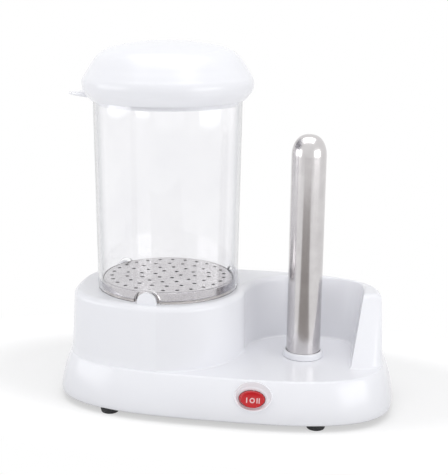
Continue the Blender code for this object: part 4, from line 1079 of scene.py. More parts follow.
    def slope_profile(self, pushed: float) -> list[Point]:
        """Return the (y, z) line of the right wall's front end, from the tray's floor to the rim.

        Args:
            pushed: How far the line is pushed into the wall.

        Returns:
            The line's points.
        """
        floor, rim = self.floor - pushed, self.rim + SKIN_LIFT
        foot = self.slope_foot + pushed
        top = foot + (rim - floor) / ((self.rim - self.floor) / self.slope_run)
        before, behind = self.slope_ends
        corners = [(foot - before, floor, 0.0), (foot, floor, self.tray_corner),
                   (top, rim, self.slope_round), (top + behind, rim, 0.0)]
        return rounded_line(corners, steps=8)

    def build_slope_cutter(self, pushed: float) -> Piece:
        """Build the space in front of the right wall's end, which turns back towards the outside.

        Args:
            pushed: How far the space is pushed into the wall, for the inner hollow.

        Returns:
            The cutter.
        """
        inner = self.tray_right
        outer = self.half_width - self.flare
        line = self.slope_profile(pushed)
        front = -self.half_depth - OVERRUN
        top = self.rim + OVERRUN
        stations = [self.tray_middle, inner - OVERRUN, inner]
        stations += [inner + (outer - inner) * share for share in (0.15, 0.3, 0.45, 0.6, 0.72, 0.83, 0.92, 0.97, 1.0)]
        stations.append(self.half_width + OVERRUN)
        rings = []
        for x in stations:
            back = self.end_depth * round_bite((x - inner) / (outer - inner))
            rings.append([Vector((x, front, line[0][1])), *(Vector((x, y + back, z)) for y, z in line),
                          Vector((x, line[-1][0] + back, top)), Vector((x, front, top))])
        return loft("wall_end_space", rings)

    def lug_face(self, degrees: float) -> Facing:
        """Return the middle of the drum's rim, facing the lug that stands at an angle."""
        turn = math.radians(degrees)
        return Facing((*self.drum_centre, self.rim), (0.0, 0.0, 1.0), (math.sin(turn), -math.cos(turn), 0.0))

    def build_lug(self, degrees: float) -> Piece:
        """Build one half-round locating lug that stands on the ledge.

        Args:
            degrees: Where it stands, counted from the front towards the right.

        Returns:
            The lug.
        """
        half = self.lug_width / 2
        outline = arch(half, self.lug_height - half, -self.skin / 2, steps=24)
        face = self.lug_face(degrees)
        ends = ((0.0, self.lug_round), (self.lug_round / 3, self.lug_shoulder), (self.lug_round, 0.0))
        stations = [(self.lug_inner + along, step_in) for along, step_in in ends]
        stations += [(self.lug_outer - along, step_in) for along, step_in in ends[::-1]]
        rings = []
        for reach, step_in in stations:
            share = 1 - step_in / half
            rings.append([face.place(side * share, up * share if up > 0.0 else up, reach) for side, up in outline])
        return loft("lug", rings)

    def build_hollow(self) -> Piece:
        """Build the space inside the shell, one skin thick away from the outside and from the tray.

        Returns:
            The cutter.
        """

        def ring(height: float, level: float, step_in: float = 0.0) -> list[Vector]:
            """Return a level ring, one skin thick inside the outside.

            Args:
                height: The ring's height.
                level: The height at which the outside is taken.
                step_in: How far a rounding has moved it in.

            Returns:
                The ring's points.
            """
            inset, drum = self.inset(level) + self.skin + step_in, self.drum_radius(level) - self.skin - step_in
            return [self.outline_point(turn, inset, drum) + Vector((0.0, 0.0, height))
                    for turn in mid_turns(self.hollow_points)]

        span = self.floor - self.stance
        ceiling, shoulder = self.rim - self.skin, self.rim - self.rim_fillet
        corner = self.rim_fillet - self.skin
        rings = [ring(self.stance - OVERRUN, self.stance + 0.08 * span)]
        rings += [ring(self.stance + share * span, self.stance + share * span) for share in (0.08, 0.41, 0.71, 0.91)]
        rings += [ring(self.floor + 0.1 * (self.rim - self.floor), shoulder), ring(ceiling - corner, shoulder),
                  ring(ceiling, shoulder, corner)]
        hollow = loft("hollow", rings)
        levels = ((self.floor - self.skin, self.drum_foot), (ceiling, self.drum_top),
                  (self.rim + OVERRUN, self.drum_top))
        grown = [self.tray_ring(height, self.skin, drum - self.skin) for height, drum in levels]
        cut(hollow, loft("grown_tray", grown), self.build_slope_cutter(self.skin))
        return hollow

    def build(self, shop: Workshop) -> None:
        """Build the shell and hand it over.

        Args:
            shop: The workshop that takes the finished pieces.
        """
        shell = self.build_outside()
        cut(shell, self.build_tray_cutter(), self.build_slope_cutter(0.0), self.build_hollow())
        for degrees in self.lug_turns:
            combine(shell, self.build_lug(degrees), "UNION")
        low, high = (Vector((*self.drum_centre, height))
                     for height in (self.rim - self.skin - OVERRUN, self.rim + OVERRUN))
        cut(shell, cylinder("drum_opening", self.drum_opening, low, high, sides=160),
            loft("switch_opening", [SWITCH_FACE.oval((0.0, 0.0), self.switch_opening, out)
                                    for out in (-self.switch_depth, OVERRUN)]),
            cylinder("gland_opening", self.gland_opening, GLAND_FACE.place(0.0, 0.0, -self.gland_depth),
                     GLAND_FACE.place(0.0, 0.0, OVERRUN)))
        smooth_shade(shell)
        shop.hand_over(shell, Body.BASE, Slot.WHITE, "housing")


# Container, rack and dish

@dataclass
class Container:
    """The clear container with its three arched notches."""

    foot: float = 0.0929
    top: float = 0.2520
    foot_radius: float = 0.0590
    top_radius: float = 0.0610
    wall: float = 0.0024
    edge: float = 0.0006
    notch_gap: float = 0.0028
    steps: int = 192
    seam: float = 0.03

    def build(self, shop: Workshop, housing: Housing) -> None:
        """Turn the wall, cut the notches over the housing's lugs and hand the container over.

        Args:
            shop: The workshop that takes the finished pieces.
            housing: The shell, for its lugs.
        """
        inner = self.foot_radius - self.wall
        seam = (inner, self.foot + self.seam, 0.0)
        corners = [seam, (inner, self.foot, self.edge), (self.foot_radius, self.foot, self.edge),
                   (self.top_radius, self.top, self.edge), (self.top_radius - self.wall, self.top, self.edge), seam]
        piece = turned("clear_container", rounded_line(corners, steps=4)[:-1], self.steps, DRUM_CENTRE, closed=True)
        half = housing.lug_width / 2 + self.notch_gap
        outline = arch(half, housing.lug_height + self.notch_gap - half, -OVERRUN, steps=32)
        for degrees in housing.lug_turns:
            face = housing.lug_face(degrees)
            cut(piece, loft("notch", [[face.place(side, up, reach) for side, up in outline]
                                      for reach in (inner - OVERRUN, self.foot_radius + OVERRUN)]))
        smooth_shade(piece)
        piece.visible_shadow = False
        shop.hand_over(piece, Body.CONTAINER, Slot.CLEAR, "container")


@dataclass
class Rack:
    """The perforated steel plate that the sausages stand on."""

    bottom: float = 0.0953
    top: float = 0.1016
    radius: float = 0.0546
    sheet: float = 0.0008
    edge: float = 0.0016
    hole: float = 0.0017
    hole_rings: tuple[tuple[float, int], ...] = ((0.20, 6), (0.42, 12), (0.64, 18), (0.87, 26))

    def build(self, shop: Workshop) -> None:
        """Turn the plate with its turned-down rim, punch its round holes and hand it over.

        Args:
            shop: The workshop that takes the finished pieces.
        """
        inner, under = self.radius - self.sheet, self.top - self.sheet
        corners = [(0.0, self.top, 0.0), (self.radius, self.top, self.edge), (self.radius, self.bottom, 0.0),
                   (inner, self.bottom, 0.0), (inner, under, self.edge - self.sheet), (0.0, under, 0.0)]
        piece = turned("perforated_rack", rounded_line(corners, steps=5), ROUND_STEPS, DRUM_CENTRE)
        drop = Vector((0.0, 0.0, self.edge))
        punches = []
        for share, count in self.hole_rings:
            for cos, sin in arc(count, FULL_TURN)[:-1]:
                place = Vector((DRUM_CENTRE[0] + share * self.radius * cos,
                                DRUM_CENTRE[1] + share * self.radius * sin, self.top))
                punches.append(cylinder("punch", self.hole, place - drop, place + drop, sides=20))
        cut(piece, joined(punches, "punches"))
        smooth_shade(piece)
        shop.hand_over(piece, Body.RACK, Slot.STEEL, "sausage_rack")


@dataclass
class Dish:
    """The steel dish that boils the water, with its flange and upstand."""

    floor: float = 0.0798
    sheet: float = 0.0008
    radius: float = 0.0500
    flange_bottom: float = 0.0942
    upstand_radius: float = 0.0560
    upstand_top: float = 0.1012
    corner: float = 0.0040
    neck: float = 0.0005
    bend: float = 0.0012

    def build(self, shop: Workshop) -> None:
        """Turn the dish and hand it over.

        Args:
            shop: The workshop that takes the finished pieces.
        """
        under, flange_top = self.floor - self.sheet, self.flange_bottom + self.sheet
        inner, upstand_inner = self.radius - self.sheet, self.upstand_radius - self.sheet
        corners = [(0.0, under, 0.0), (self.radius, under, self.corner),
                   (self.radius, self.flange_bottom, self.neck), (self.upstand_radius, self.flange_bottom, self.bend),
                   (self.upstand_radius, self.upstand_top, 0.0), (upstand_inner, self.upstand_top, 0.0),
                   (upstand_inner, flange_top, self.bend - self.sheet), (inner, flange_top, self.bend),
                   (inner, self.floor, self.corner - self.sheet), (0.0, self.floor, 0.0)]
        piece = turned("water_dish", rounded_line(corners, steps=5), ROUND_STEPS, DRUM_CENTRE)
        smooth_shade(piece)
        shop.hand_over(piece, Body.BASE, Slot.STEEL, "heating_dish")


# Lid

@dataclass
class Lid:
    """The domed lid with its inner skirt and thumb tab."""

    bottom: float = 0.2500
    height: float = 0.0470
    radius: float = 0.0700
    wall: float = 0.0020
    lip_inner: float = 0.0616
    lip: float = 0.0014
    shelf: float = 0.2523
    shelf_sheet: float = 0.0020
    skirt_outer: float = 0.0580
    skirt_wall: float = 0.0015
    skirt_bottom: float = 0.2465
    dome_shares: tuple[Point, ...] = ((0.900, 0.0), (0.917, 0.028), (0.938, 0.064), (0.968, 0.118), (0.988, 0.176),
                                      (0.997, 0.230), (1.0, 0.280), (0.997, 0.325), (0.987, 0.370), (0.966, 0.420),
                                      (0.940, 0.485), (0.912, 0.550), (0.883, 0.620), (0.850, 0.690), (0.812, 0.755),
                                      (0.763, 0.812), (0.705, 0.858), (0.620, 0.898), (0.500, 0.936), (0.370, 0.965),
                                      (0.225, 0.987), (0.100, 0.997), (0.0, 1.0))
    tab_reach: float = 0.0837
    tab_width: float = 0.0260
    tab_middle: float = 0.2531
    tab_thickness: float = 0.0018
    tab_root_thickness: float = 0.0050
    tab_root: float = 0.90
    tab_edge: float = 0.0008
    tab_thinning: float = 1.5
    tab_layers: tuple[Point, ...] = ((-1.0, 1.0), (-0.85, 0.35), (-0.5, 0.0), (0.0, 0.0), (0.5, 0.0), (0.85, 0.35),
                                     (1.0, 1.0))
    edge: float = 0.0004
    steps: int = 192

    def dome_line(self, moved_in: float) -> list[Point]:
        """Return the dome's profile, smooth between its shares, moved in by a wall.

        Args:
            moved_in: How far the line lies inside the outer one.

        Returns:
            (radius, height) points from the lip to the middle.
        """
        rough = [Vector((share * self.radius, self.bottom + up * self.height)) for share, up in self.dome_shares]
        fine: list[Vector] = []
        padded = [rough[0], *rough, Vector((-rough[-2].x, rough[-2].y))]
        for before, start, end, after in zip(padded, padded[1:], padded[2:], padded[3:]):
            for step in range(4):
                t = step / 4
                fine.append(0.5 * (2 * start + (end - before) * t
                                   + (2 * before - 5 * start + 4 * end - after) * t * t
                                   + (3 * start - before - 3 * end + after) * t * t * t))
        fine.append(rough[-1])
        line = []
        for before, point, after in zip([fine[0], *fine], fine, [*fine[1:], Vector((-fine[-2].x, fine[-2].y))]):
            along = (after - before).normalized()
            line.append((max(0.0, point.x - moved_in * along.y), point.y + moved_in * along.x))
        line[-1] = (0.0, line[-1][1])
        return line

    def build(self, shop: Workshop) -> None:
        """Turn the lid, join its thumb tab and hand it over.

        Args:
            shop: The workshop that takes the finished pieces.
        """
        head = self.shelf + self.shelf_sheet
        inside = [point for point in self.dome_line(self.wall) if point[1] > head]
        skirt_inner = self.skirt_outer - self.skirt_wall
        rounded = ((skirt_inner, self.skirt_bottom), (self.skirt_outer, self.skirt_bottom),
                   (self.skirt_outer, self.shelf), (self.lip_inner, self.shelf), (self.lip_inner, self.bottom))
        corners = [(skirt_inner, head, 0.0), *((across, up, self.edge) for across, up in rounded),
                   (self.lip_inner + self.lip, self.bottom, 0.0)]
        line = inside[::-1] + rounded_line(corners, steps=3) + self.dome_line(0.0)
        piece = turned("domed_lid", line, self.steps, DRUM_CENTRE)
        combine(piece, self.build_tab(), "UNION")
        smooth_shade(piece)
        shop.hand_over(piece, Body.LID, Slot.WHITE, "lid")

    def build_tab(self) -> Piece:
        """Build the half-oval thumb tab at the lid's left, a wedge that thins towards its tip.

        Returns:
            The tab.
        """
        root = DRUM_CENTRE[0] - self.radius * self.tab_root
        length = self.tab_reach - self.radius * self.tab_root
        rings = []
        for share, bite in self.tab_layers:
            step_in = bite * self.tab_edge
            ring = []
            for cos, sin in arc(48, HALF_TURN):
                out = (length - step_in) * sin
                side = (self.tab_width / 2 - step_in) * cos
                near = (1 - out / length) ** self.tab_thinning
                half = (self.tab_thickness + (self.tab_root_thickness - self.tab_thickness) * near) / 2
                ring.append(Vector((root - out, DRUM_CENTRE[1] + side, self.tab_middle + share * half)))
            rings.append(ring)
        return loft("thumb_tab", rings)


# Spike

@dataclass
class Spike:
    """The heated steel spike and the white ring round its foot."""

    centre: Point = (0.065375, -0.0030)
    radius: float = 0.0140
    sheet: float = 0.0008
    top: float = 0.2250
    bottom: float = 0.0247
    flange: float = 0.0170
    flange_top: float = 0.0257
    weld: Point = (0.0004, 0.0006)
    tip_length: float = 0.0170
    ring_low: float = 0.0393
    ring_high: float = 0.0445
    ring_inner: float = 0.0143
    ring_outer: float = 0.0165
    ring_round: float = 0.0012
    ring_bore_round: float = 0.0005
    ring_foot_round: float = 0.0002
    ring_seam: float = 0.002
    tip_power: float = 0.8

    def tip(self, radius: float, length: float) -> list[Point]:
        """Return the rounded tip's points from its foot to the axis.

        Args:
            radius: The tube's radius.
            length: The tip's length.

        Returns:
            The (radius, height) points.
        """
        foot = self.top - self.tip_length
        points = [(radius * cos ** self.tip_power, foot + length * sin) for cos, sin in arc(steps=12)]
        points[-1] = (0.0, points[-1][1])
        return points

    def build(self, shop: Workshop) -> None:
        """Turn the spike and its ring and hand them over.

        Args:
            shop: The workshop that takes the finished pieces.
        """
        inner = self.radius - self.sheet
        outside = self.tip(self.radius, self.tip_length)
        inside = self.tip(inner, self.tip_length - self.sheet)
        foot = [(inner, self.bottom), (self.flange, self.bottom), (self.flange, self.flange_top),
                (self.radius + self.weld[0], self.flange_top), (self.radius, self.flange_top + self.weld[1])]
        body = [(self.radius, self.flange_top + (outside[0][1] - self.flange_top) * share)
                for share in (0.25, 0.5, 0.75)]
        piece = turned("roll_spike", inside[::-1] + foot + body + outside, ROUND_STEPS, self.centre)
        smooth_shade(piece)
        shop.hand_over(piece, Body.BASE, Slot.STEEL, "spike")
        seam = (self.ring_inner, self.ring_low + self.ring_seam, 0.0)
        corners = [seam, (self.ring_inner, self.ring_low, self.ring_foot_round),
                   (self.ring_outer, self.ring_low, self.ring_foot_round),
                   (self.ring_outer, self.ring_high, self.ring_round),
                   (self.ring_inner, self.ring_high, self.ring_bore_round), seam]
        ring = turned("spike_ring", rounded_line(corners, steps=6)[:-1], ROUND_STEPS, self.centre, closed=True)
        smooth_shade(ring)
        shop.hand_over(ring, Body.BASE, Slot.WHITE, "spike_collar")


# Switch

@dataclass
class Switch:
    """The oval switch: a dished bezel with its sleeve, and the red rocker with its marks."""

    face: Facing = SWITCH_FACE
    bezel_middle: Point = (0.0, 0.0005)
    bezel_halves: Point = (0.0155, 0.0120)
    bezel_back: float = -0.0009
    proud: float = 0.0012
    rim: float = 0.0011
    dish: float = 0.0026
    middle: Point = (-0.0008, -0.00165)
    halves: Point = (0.0104, 0.0066)
    gap: float = 0.00035
    sleeve_wall: float = 0.0012
    sleeve_depth: float = 0.0092
    rocker_depth: float = 0.0060
    face_shift: Point = (0.0008, -0.00025)
    face_halves: Point = (0.0091, 0.0064)
    face_out: float = 0.0017
    face_tilt: float = 0.11
    face_dish: float = 0.0006
    edge: float = 0.0005
    pin_radius: float = 0.0012
    pin_depth: float = 0.0030
    mark_shift: Point = (-0.0002, -0.0006)
    mark_height: float = 0.0041
    mark_stroke: float = 0.00085
    mark_places: tuple[float, ...] = (-0.0043, 0.0046)
    mark_out: float = 0.00006
    mark_sunk: float = 0.0002
    mark_bore: float = 0.0006
    opening_depth: float = 0.0110
    gap_closed: float = 0.6
    body_taper: float = 0.0004
    body_straight: Point = (-0.0024, -0.0010)

    def build_bezel(self) -> Piece:
        """Build the bezel: rounded rim, dish down to the rocker, and sleeve behind.

        Returns:
            The bezel.
        """
        wide, high = self.bezel_halves
        open_wide, open_high = self.halves[0] + self.gap, self.halves[1] + self.gap
        sleeve = (open_wide + self.sleeve_wall, open_high + self.sleeve_wall)
        rings = [self.face.oval(self.middle, sleeve, -self.sleeve_depth),
                 self.face.oval(self.middle, sleeve, self.bezel_back),
                 self.face.oval(self.bezel_middle, self.bezel_halves, self.bezel_back)]
        half = self.rim / 2
        for cos, sin in arc(8, HALF_TURN):
            bite = half * (1 - cos)
            rings.append(self.face.oval(self.bezel_middle, (wide - bite, high - bite), self.proud - half * (1 - sin)))
        low = self.proud - half
        for share in (0.08, 0.2, 0.35, 0.5, 0.65, 0.8, 0.9, 1.0):
            middle = tuple(a + (b - a) * share for a, b in zip(self.bezel_middle, self.middle))
            halves = tuple(a - self.rim + (b + self.gap * self.gap_closed - a + self.rim) * share
                           for a, b in zip(self.bezel_halves, self.halves))
            rings.append(self.face.oval(middle, halves, low - (self.dish - half) * (1 - (1 - share) ** 2)))
        bezel = loft("oval_bezel", rings)
        way = [self.face.oval(self.middle, (open_wide, open_high), out) for out in (-self.opening_depth, OVERRUN)]
        cut(bezel, loft("bezel_opening", way))
        smooth_shade(bezel, degrees=40.0)
        return bezel

    def face_middle(self) -> Point:
        """Return the middle of the rocker's face, across and up."""
        return self.middle[0] + self.face_shift[0], self.middle[1] + self.face_shift[1]

    def face_height(self, across: float, up: float) -> float:
        """Return how far out the rocker's dished face lies at a place.

        Args:
            across: How far across the place lies.
            up: How far up it lies.

        Returns:
            The distance out from the shell.
        """
        middle = self.face_middle()
        away = ((across - middle[0]) / self.face_halves[0]) ** 2 + ((up - middle[1]) / self.face_halves[1]) ** 2
        return self.face_out - self.face_tilt * across - self.face_dish * max(0.0, 1 - away)

    def build_rocker(self) -> Piece:
        """Build the rocker: body in the sleeve, leaning sides and a dished face that stands out at its left.

        Returns:
            The rocker.
        """
        lower = tuple(half - self.body_taper for half in self.halves)
        middle = self.face_middle()
        rings = [self.face.oval(self.middle, lower, -self.rocker_depth)]
        rings += [self.face.oval(self.middle, self.halves, out) for out in self.body_straight]
        wide, high = self.face_halves
        for cos, sin in arc(steps=4):
            bite = self.edge * (1 - cos)
            rings.append(self.face.oval(middle, (wide - bite, high - bite), self.face_out - self.edge * (1 - sin),
                                        self.face_tilt))
        for share in (0.85, 0.7, 0.52, 0.34, 0.16):
            rings.append(self.face.oval(middle, (wide * share, high * share),
                                        self.face_out - self.face_dish * (1 - share * share), self.face_tilt))
        rocker = loft("red_rocker", rings)
        reach = self.halves[1] + OVERRUN
        cut(rocker, cylinder("pin_way", self.pin_radius, self.face.place(0.0, -reach, -self.pin_depth),
                             self.face.place(0.0, reach, -self.pin_depth), sides=32))
        smooth_shade(rocker, degrees=50.0)
        return rocker

    def build_mark(self, outline: Sequence[Point], sunk: float) -> Piece:
        """Build one thin mark that follows the rocker's face.

        Args:
            outline: Its outline, across and up.
            sunk: How far it reaches under the face.

        Returns:
            The mark.
        """
        rings = [[self.face.place(across, up, self.face_height(across, up) + out) for across, up in outline]
                 for out in (-sunk, self.mark_out + sunk / 4)]
        return loft("mark", rings)

    def build_marks(self) -> Piece:
        """Build the marks I, O and II.

        Returns:
            The marks, as one piece.
        """
        x, y = (sum(parts) for parts in zip(self.middle, self.face_shift, self.mark_shift))
        stroke, half = self.mark_stroke / 2, self.mark_height / 2

        def bar(across: float) -> Piece:
            """Build one upright bar."""
            rising = [(across + stroke, y + half * share) for share in (-1.0, -0.5, 0.0, 0.5, 1.0)]
            return self.build_mark(rising + [(2 * across - a, b) for a, b in rising[::-1]], self.mark_sunk)

        def disc(radius: float, sunk: float) -> Piece:
            """Build one round disc."""
            circle = arc(40, FULL_TURN)[:-1]
            return self.build_mark([(x + radius * cos, y + radius * sin) for cos, sin in circle], sunk)

        ring = disc(half, self.mark_sunk)
        cut(ring, disc(half - self.mark_stroke, self.mark_bore))
        left, right = (x + place for place in self.mark_places)
        bars = [bar(across) for across in (left, right - self.mark_stroke, right + self.mark_stroke)]
        return joined([ring, *bars], "switch_marks")

    def build(self, shop: Workshop) -> None:
        """Build the switch's pieces and hand them over.

        Args:
            shop: The workshop that takes the finished pieces.
        """
        shop.hand_over(self.build_bezel(), Body.BASE, Slot.WHITE, "switch_bezel")
        shop.hand_over(self.build_rocker(), Body.ROCKER, Slot.RED, "switch_rocker")
        marks = shop.hand_over(self.build_marks(), Body.ROCKER, Slot.WHITE)
        marks.data.materials[0] = shop.print_finish


# Feet, gland and screws

@dataclass
class Feet:
    """The four dark rubber feet, plugged through the base plate."""

    nodes: tuple[str, ...] = ("foot_front_left", "foot_front_right", "foot_rear_left", "foot_rear_right")
    corners: tuple[Triple, ...] = (
        (0.0, 0.0009, 0.0), (0.0042, 0.0009, 0.0004), (0.0050, 0.0, 0.0004), (0.0070, 0.0, 0.0009),
        (0.0077, 0.0030, 0.0020), (0.0077, 0.0047, 0.0006), (0.0030, 0.0047, 0.0), (0.0030, 0.0078, 0.0),
        (0.0042, 0.0078, 0.0003), (0.0030, 0.0096, 0.0004), (0.0, 0.0096, 0.0))

    def build(self, shop: Workshop) -> None:
        """Turn one foot and set a copy under each corner.

        Args:
            shop: The workshop that takes the finished pieces.
        """
        foot = turned("rubber_foot", rounded_line(self.corners, steps=5), steps=64)
        smooth_shade(foot)
        for name in self.nodes:
            piece = copied(foot, "rubber_" + name, Matrix.Translation(middle_of(name)))
            shop.hand_over(piece, Body.BASE, Slot.RUBBER, name)
        bpy.data.objects.remove(foot, do_unlink=True)


@dataclass
class Gland:
    """The rubber gland in the back, where the lead comes in."""

    corners: tuple[Triple, ...] = (
        (0.0038, -0.0020, 0.0), (0.0038, -0.0046, 0.0003), (0.0055, -0.0046, 0.0003), (0.0067, -0.0031, 0.0002),
        (0.0055, -0.0031, 0.0), (0.0055, -0.0007, 0.0), (0.0080, -0.0007, 0.0002), (0.0080, 0.0004, 0.0006),
        (0.0070, 0.0011, 0.0006), (0.0061, 0.0011, 0.0003), (0.0056, 0.0018, 0.0003), (0.0046, 0.0018, 0.0004),
        (0.0038, 0.0010, 0.0004), (0.0038, -0.0020, 0.0))

    def build(self, shop: Workshop) -> None:
        """Turn the gland and seat it in the back.

        Args:
            shop: The workshop that takes the finished pieces.
        """
        piece = turned("rubber_gland", rounded_line(self.corners, steps=5)[:-1], steps=64, closed=True)
        piece.data.transform(GLAND_FACE.matrix())
        smooth_shade(piece)
        shop.hand_over(piece, Body.BASE, Slot.RUBBER, "cord_gland")


@dataclass
class Screws:
    """The zinc-plated cross-head screws."""

    upright: tuple[str, ...] = ("base_screw_1", "base_screw_2", "base_screw_3", "base_screw_4", "base_screw_5",
                                "base_screw_6", "bracket_screw_1", "bracket_screw_2", "spike_screw_1",
                                "spike_screw_2")
    turned_over: tuple[str, ...] = ("cord_clamp_screw_1", "cord_clamp_screw_2")
    head_radius: float = 0.0031
    head: float = 0.0018
    head_round: float = 0.0009
    head_edge: float = 0.0002
    core: float = 0.0012
    thread: float = 0.0016
    pitch: float = 0.0010
    thread_start: float = 0.2
    thread_crest: float = 0.45
    thread_end: float = 0.8
    length: float = 0.0118
    slot_width: float = 0.0007
    slot_length: float = 0.0036
    slot_depth: float = 0.0010

    def build_screw(self) -> Piece:
        """Turn one screw with its head down, with a threaded shank and a cross in its head.

        Returns:
            The screw.
        """
        corners = [(0.0, 0.0, 0.0), (self.head_radius, 0.0, self.head_round),
                   (self.head_radius, self.head, self.head_edge), (self.core, self.head, 0.0)]
        line = rounded_line(corners, steps=5)
        for number in range(int((self.length - self.head) / self.pitch) - 1):
            low = self.head + self.pitch * (number + self.thread_start)
            line += [(self.core, low), (self.thread, low + self.thread_crest * self.pitch),
                     (self.core, low + self.thread_end * self.pitch)]
        line.append((0.0, self.length))
        screw = turned("screw", line, steps=32)
        for wide, long in ((self.slot_width, self.slot_length), (self.slot_length, self.slot_width)):
            slot = added("slot", bpy.ops.mesh.primitive_cube_add, size=1.0)
            slot.data.transform(Matrix.Diagonal((wide, long, 2 * self.slot_depth, 1.0)))
            cut(screw, slot)
        smooth_shade(screw)
        return screw

    def build(self, shop: Workshop) -> None:
        """Model one screw and set a copy in each place.

        Args:
            shop: The workshop that takes the finished pieces.
        """
        screw = self.build_screw()
        for name in self.upright + self.turned_over:
            low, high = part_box(name)
            place = Matrix.Translation(middle_of(name))
            if name in self.turned_over:
                place = Matrix.Translation(Vector((0.0, 0.0, high[2] - low[2]))) @ place
                place @= Matrix.Rotation(HALF_TURN, 4, "X")
            shop.hand_over(copied(screw, "cross_head_" + name, place), Body.BASE, Slot.ZINC, name)
        bpy.data.objects.remove(screw, do_unlink=True)


# Stage

@dataclass(frozen=True)
class Softbox:
    """A rectangular lamp: its name, place, width and height, power in watts, and whether reflections show it."""

    name: str
    place: Triple
    size: Point
    power: float
    mirrored: bool = True

    def add(self, target: Vector) -> None:
        """Add the lamp, facing a place.

        Args:
            target: The place that it faces.
        """
        data = bpy.data.lights.new(self.name, "AREA")
        data.shape = "RECTANGLE"
        data.size, data.size_y = self.size
        data.energy = self.power
        lamp = bpy.data.objects.new(self.name, data)
        lamp.location = self.place
        lamp.rotation_euler = (target - Vector(self.place)).to_track_quat("-Z", "Y").to_euler()
        lamp.visible_glossy = self.mirrored
        bpy.context.scene.collection.objects.link(lamp)


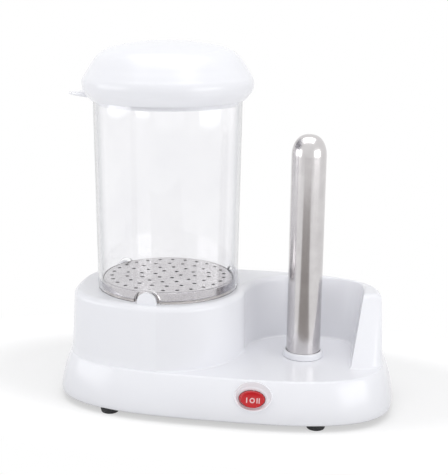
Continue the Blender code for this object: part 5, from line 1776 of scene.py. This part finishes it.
@dataclass
class Studio:
    """Floor, white surroundings, lamps and camera."""

    eye: Triple = (0.1219, -0.8125, 0.3403)
    yaw: float = 10.93
    pitch: float = 13.953
    roll: float = 0.16
    lens: float = 77.2
    shift: float = 0.0794
    sensor: float = 36.0
    floor_size: float = 6.0
    glow_middle: float = 0.066
    glow_squeeze: float = 2.2
    near_glow: float = 0.52
    near_shade: float = 0.46
    far_shade: float = 0.95
    near_reach: float = 0.20
    far_reach: float = 0.38
    sky: float = 0.42
    sky_colour: tuple[float, ...] = (0.97, 0.975, 1.0, 1.0)
    card_middle: float = 0.073
    card_start: float = -0.105
    card_lift: float = 0.0005
    card_width: float = 0.20
    card_far_width: float = 0.72
    card_length: float = 0.75
    card_glow: float = 0.38
    card_colour: tuple[float, ...] = (1.0, 0.94, 0.90, 1.0)
    black: tuple[float, ...] = (0.0, 0.0, 0.0, 1.0)
    aim: Triple = (0.0, 0.0, 0.12)
    lamps: tuple[Softbox, ...] = (
        Softbox("top_box", (0.0, -0.10, 1.30), (1.4, 1.0), 8.6),
        Softbox("left_box", (-1.10, -0.45, 0.32), (1.0, 0.5), 3.2),
        Softbox("right_box", (1.20, -0.65, 0.32), (1.0, 0.5), 4.7),
        Softbox("front_box", (0.25, -1.50, 0.50), (1.6, 1.0), 2.4, mirrored=False))

    def spread(self, away: Socket, near: float, far: float) -> Socket:
        """Return a value that goes softly from the cooker's surroundings to the far floor.

        Args:
            away: The distance from the cooker.
            near: The value beside it.
            far: The value far away.

        Returns:
            The value.
        """
        return add_node(away.id_data, "MapRange", {
            "Value": away, "From Min": self.near_reach, "From Max": self.far_reach, "To Min": near, "To Max": far},
            interpolation_type="SMOOTHSTEP").outputs["Result"]

    def build_floor(self) -> None:
        """Add the white floor, which keeps the cooker's shadow."""
        floor = added("studio_floor", bpy.ops.mesh.primitive_plane_add, size=self.floor_size)
        made, shader = new_material("studio_floor")
        tree = made.node_tree
        seen = seen_by_eye(tree)
        place = add_node(tree, "Mapping", {"Vector": add_node(tree, "TexCoord").outputs["Object"],
                                           "Location": (0.0, -self.glow_middle, 0.0),
                                           "Scale": (1.0, self.glow_squeeze, 1.0)}).outputs["Vector"]
        away = add_node(tree, "VectorMath", {0: place}, operation="LENGTH").outputs["Value"]
        glow = self.spread(away, self.near_glow, 1.0)
        shade = self.spread(away, self.near_shade, self.far_shade)
        fade = self.spread(away, 0.0, 1.0)
        plain = math_node(tree, "SUBTRACT", 1.0, math_node(tree, "MULTIPLY", seen, fade))
        fill(shader, {"Roughness": 1.0, "Specular IOR Level": 0.0, "Emission Color": FULL_WHITE,
                      "Emission Strength": math_node(tree, "MULTIPLY", seen, glow),
                      "Base Color": math_node(tree, "MULTIPLY", plain, shade)})
        floor.data.materials.append(made)

    def build_world(self) -> None:
        """Surround the cooker with an even light that shows as plain white."""
        world = bpy.data.worlds.new("studio")
        bpy.context.scene.world = world
        world.use_nodes = True
        tree = world.node_tree
        tree.nodes.clear()
        shown = add_node(tree, "Background", {"Color": FULL_WHITE, "Strength": 1.0})
        lit = add_node(tree, "Background", {"Color": self.sky_colour, "Strength": self.sky})
        mix = add_node(tree, "MixShader", {"Fac": seen_by_eye(tree), 1: lit.outputs[0], 2: shown.outputs[0]})
        add_node(tree, "OutputWorld", {"Surface": mix.outputs[0]})

    def add_card(self) -> None:
        """Lay a dark card on the floor in front, which only the steel and the gloss mirror."""
        card = added("dark_card", bpy.ops.mesh.primitive_plane_add, size=1.0)
        for corner in card.data.vertices:
            corner.co.x *= self.card_width if corner.co.y > 0 else self.card_far_width
            corner.co.y *= self.card_length
        middle = (self.card_middle, self.card_start - self.card_length / 2, self.card_lift)
        card.data.transform(Matrix.Translation(middle))
        made, shader = new_material("dark_card")
        fill(shader, {"Base Color": self.black, "Specular IOR Level": 0.0,
                      "Emission Color": self.card_colour, "Emission Strength": self.card_glow})
        card.data.materials.append(made)
        card.visible_camera = card.visible_diffuse = card.visible_transmission = False
        card.visible_shadow = card.visible_volume_scatter = False

    def build_camera(self) -> None:
        """Add the camera at the photograph's place and angle."""
        data = bpy.data.cameras.new("camera")
        data.lens = self.lens
        data.sensor_width = self.sensor
        data.shift_x = self.shift
        camera = bpy.data.objects.new("camera", data)
        turn = Matrix.Rotation(math.radians(self.yaw), 4, "Z")
        turn @= Matrix.Rotation(math.radians(90.0 - self.pitch), 4, "X")
        turn @= Matrix.Rotation(math.radians(self.roll), 4, "Z")
        camera.matrix_world = Matrix.Translation(self.eye) @ turn
        bpy.context.scene.collection.objects.link(camera)
        bpy.context.scene.camera = camera

    def build(self) -> None:
        """Build the whole stage."""
        self.build_floor()
        self.build_world()
        for lamp in self.lamps:
            lamp.add(Vector(self.aim))
        self.add_card()
        self.build_camera()
        bpy.context.scene.view_settings.view_transform = "Standard"


def dress_inner_nodes(frame: dict, finishes: dict[Slot, bpy.types.Material]) -> None:
    """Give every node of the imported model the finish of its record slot.

    Args:
        frame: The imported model.
        finishes: The material of each slot.
    """
    slots = {part["node"]: part["material_slot"] for part in frame["record"]["subparts"]}
    for name, node in frame["nodes"].items():
        finish = finishes[Slot(slots[name])]
        if not node.data.materials:
            node.data.materials.append(finish)
        for number in range(len(node.data.materials)):
            node.data.materials[number] = finish


def main() -> None:
    """Build the stage and every sub-assembly in order."""
    logging.basicConfig(level=logging.INFO)
    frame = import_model()
    finishes, print_finish = make_finishes()
    dress_inner_nodes(frame, finishes)
    shop = Workshop(finishes, print_finish)
    Studio().build()
    housing = Housing()
    housing.build(shop)
    Container().build(shop, housing)
    for part in (Rack(), Dish(), Lid(), Spike(), Switch(), Feet(), Gland(), Screws()):
        part.build(shop)


if __name__ == "__main__":
    main()
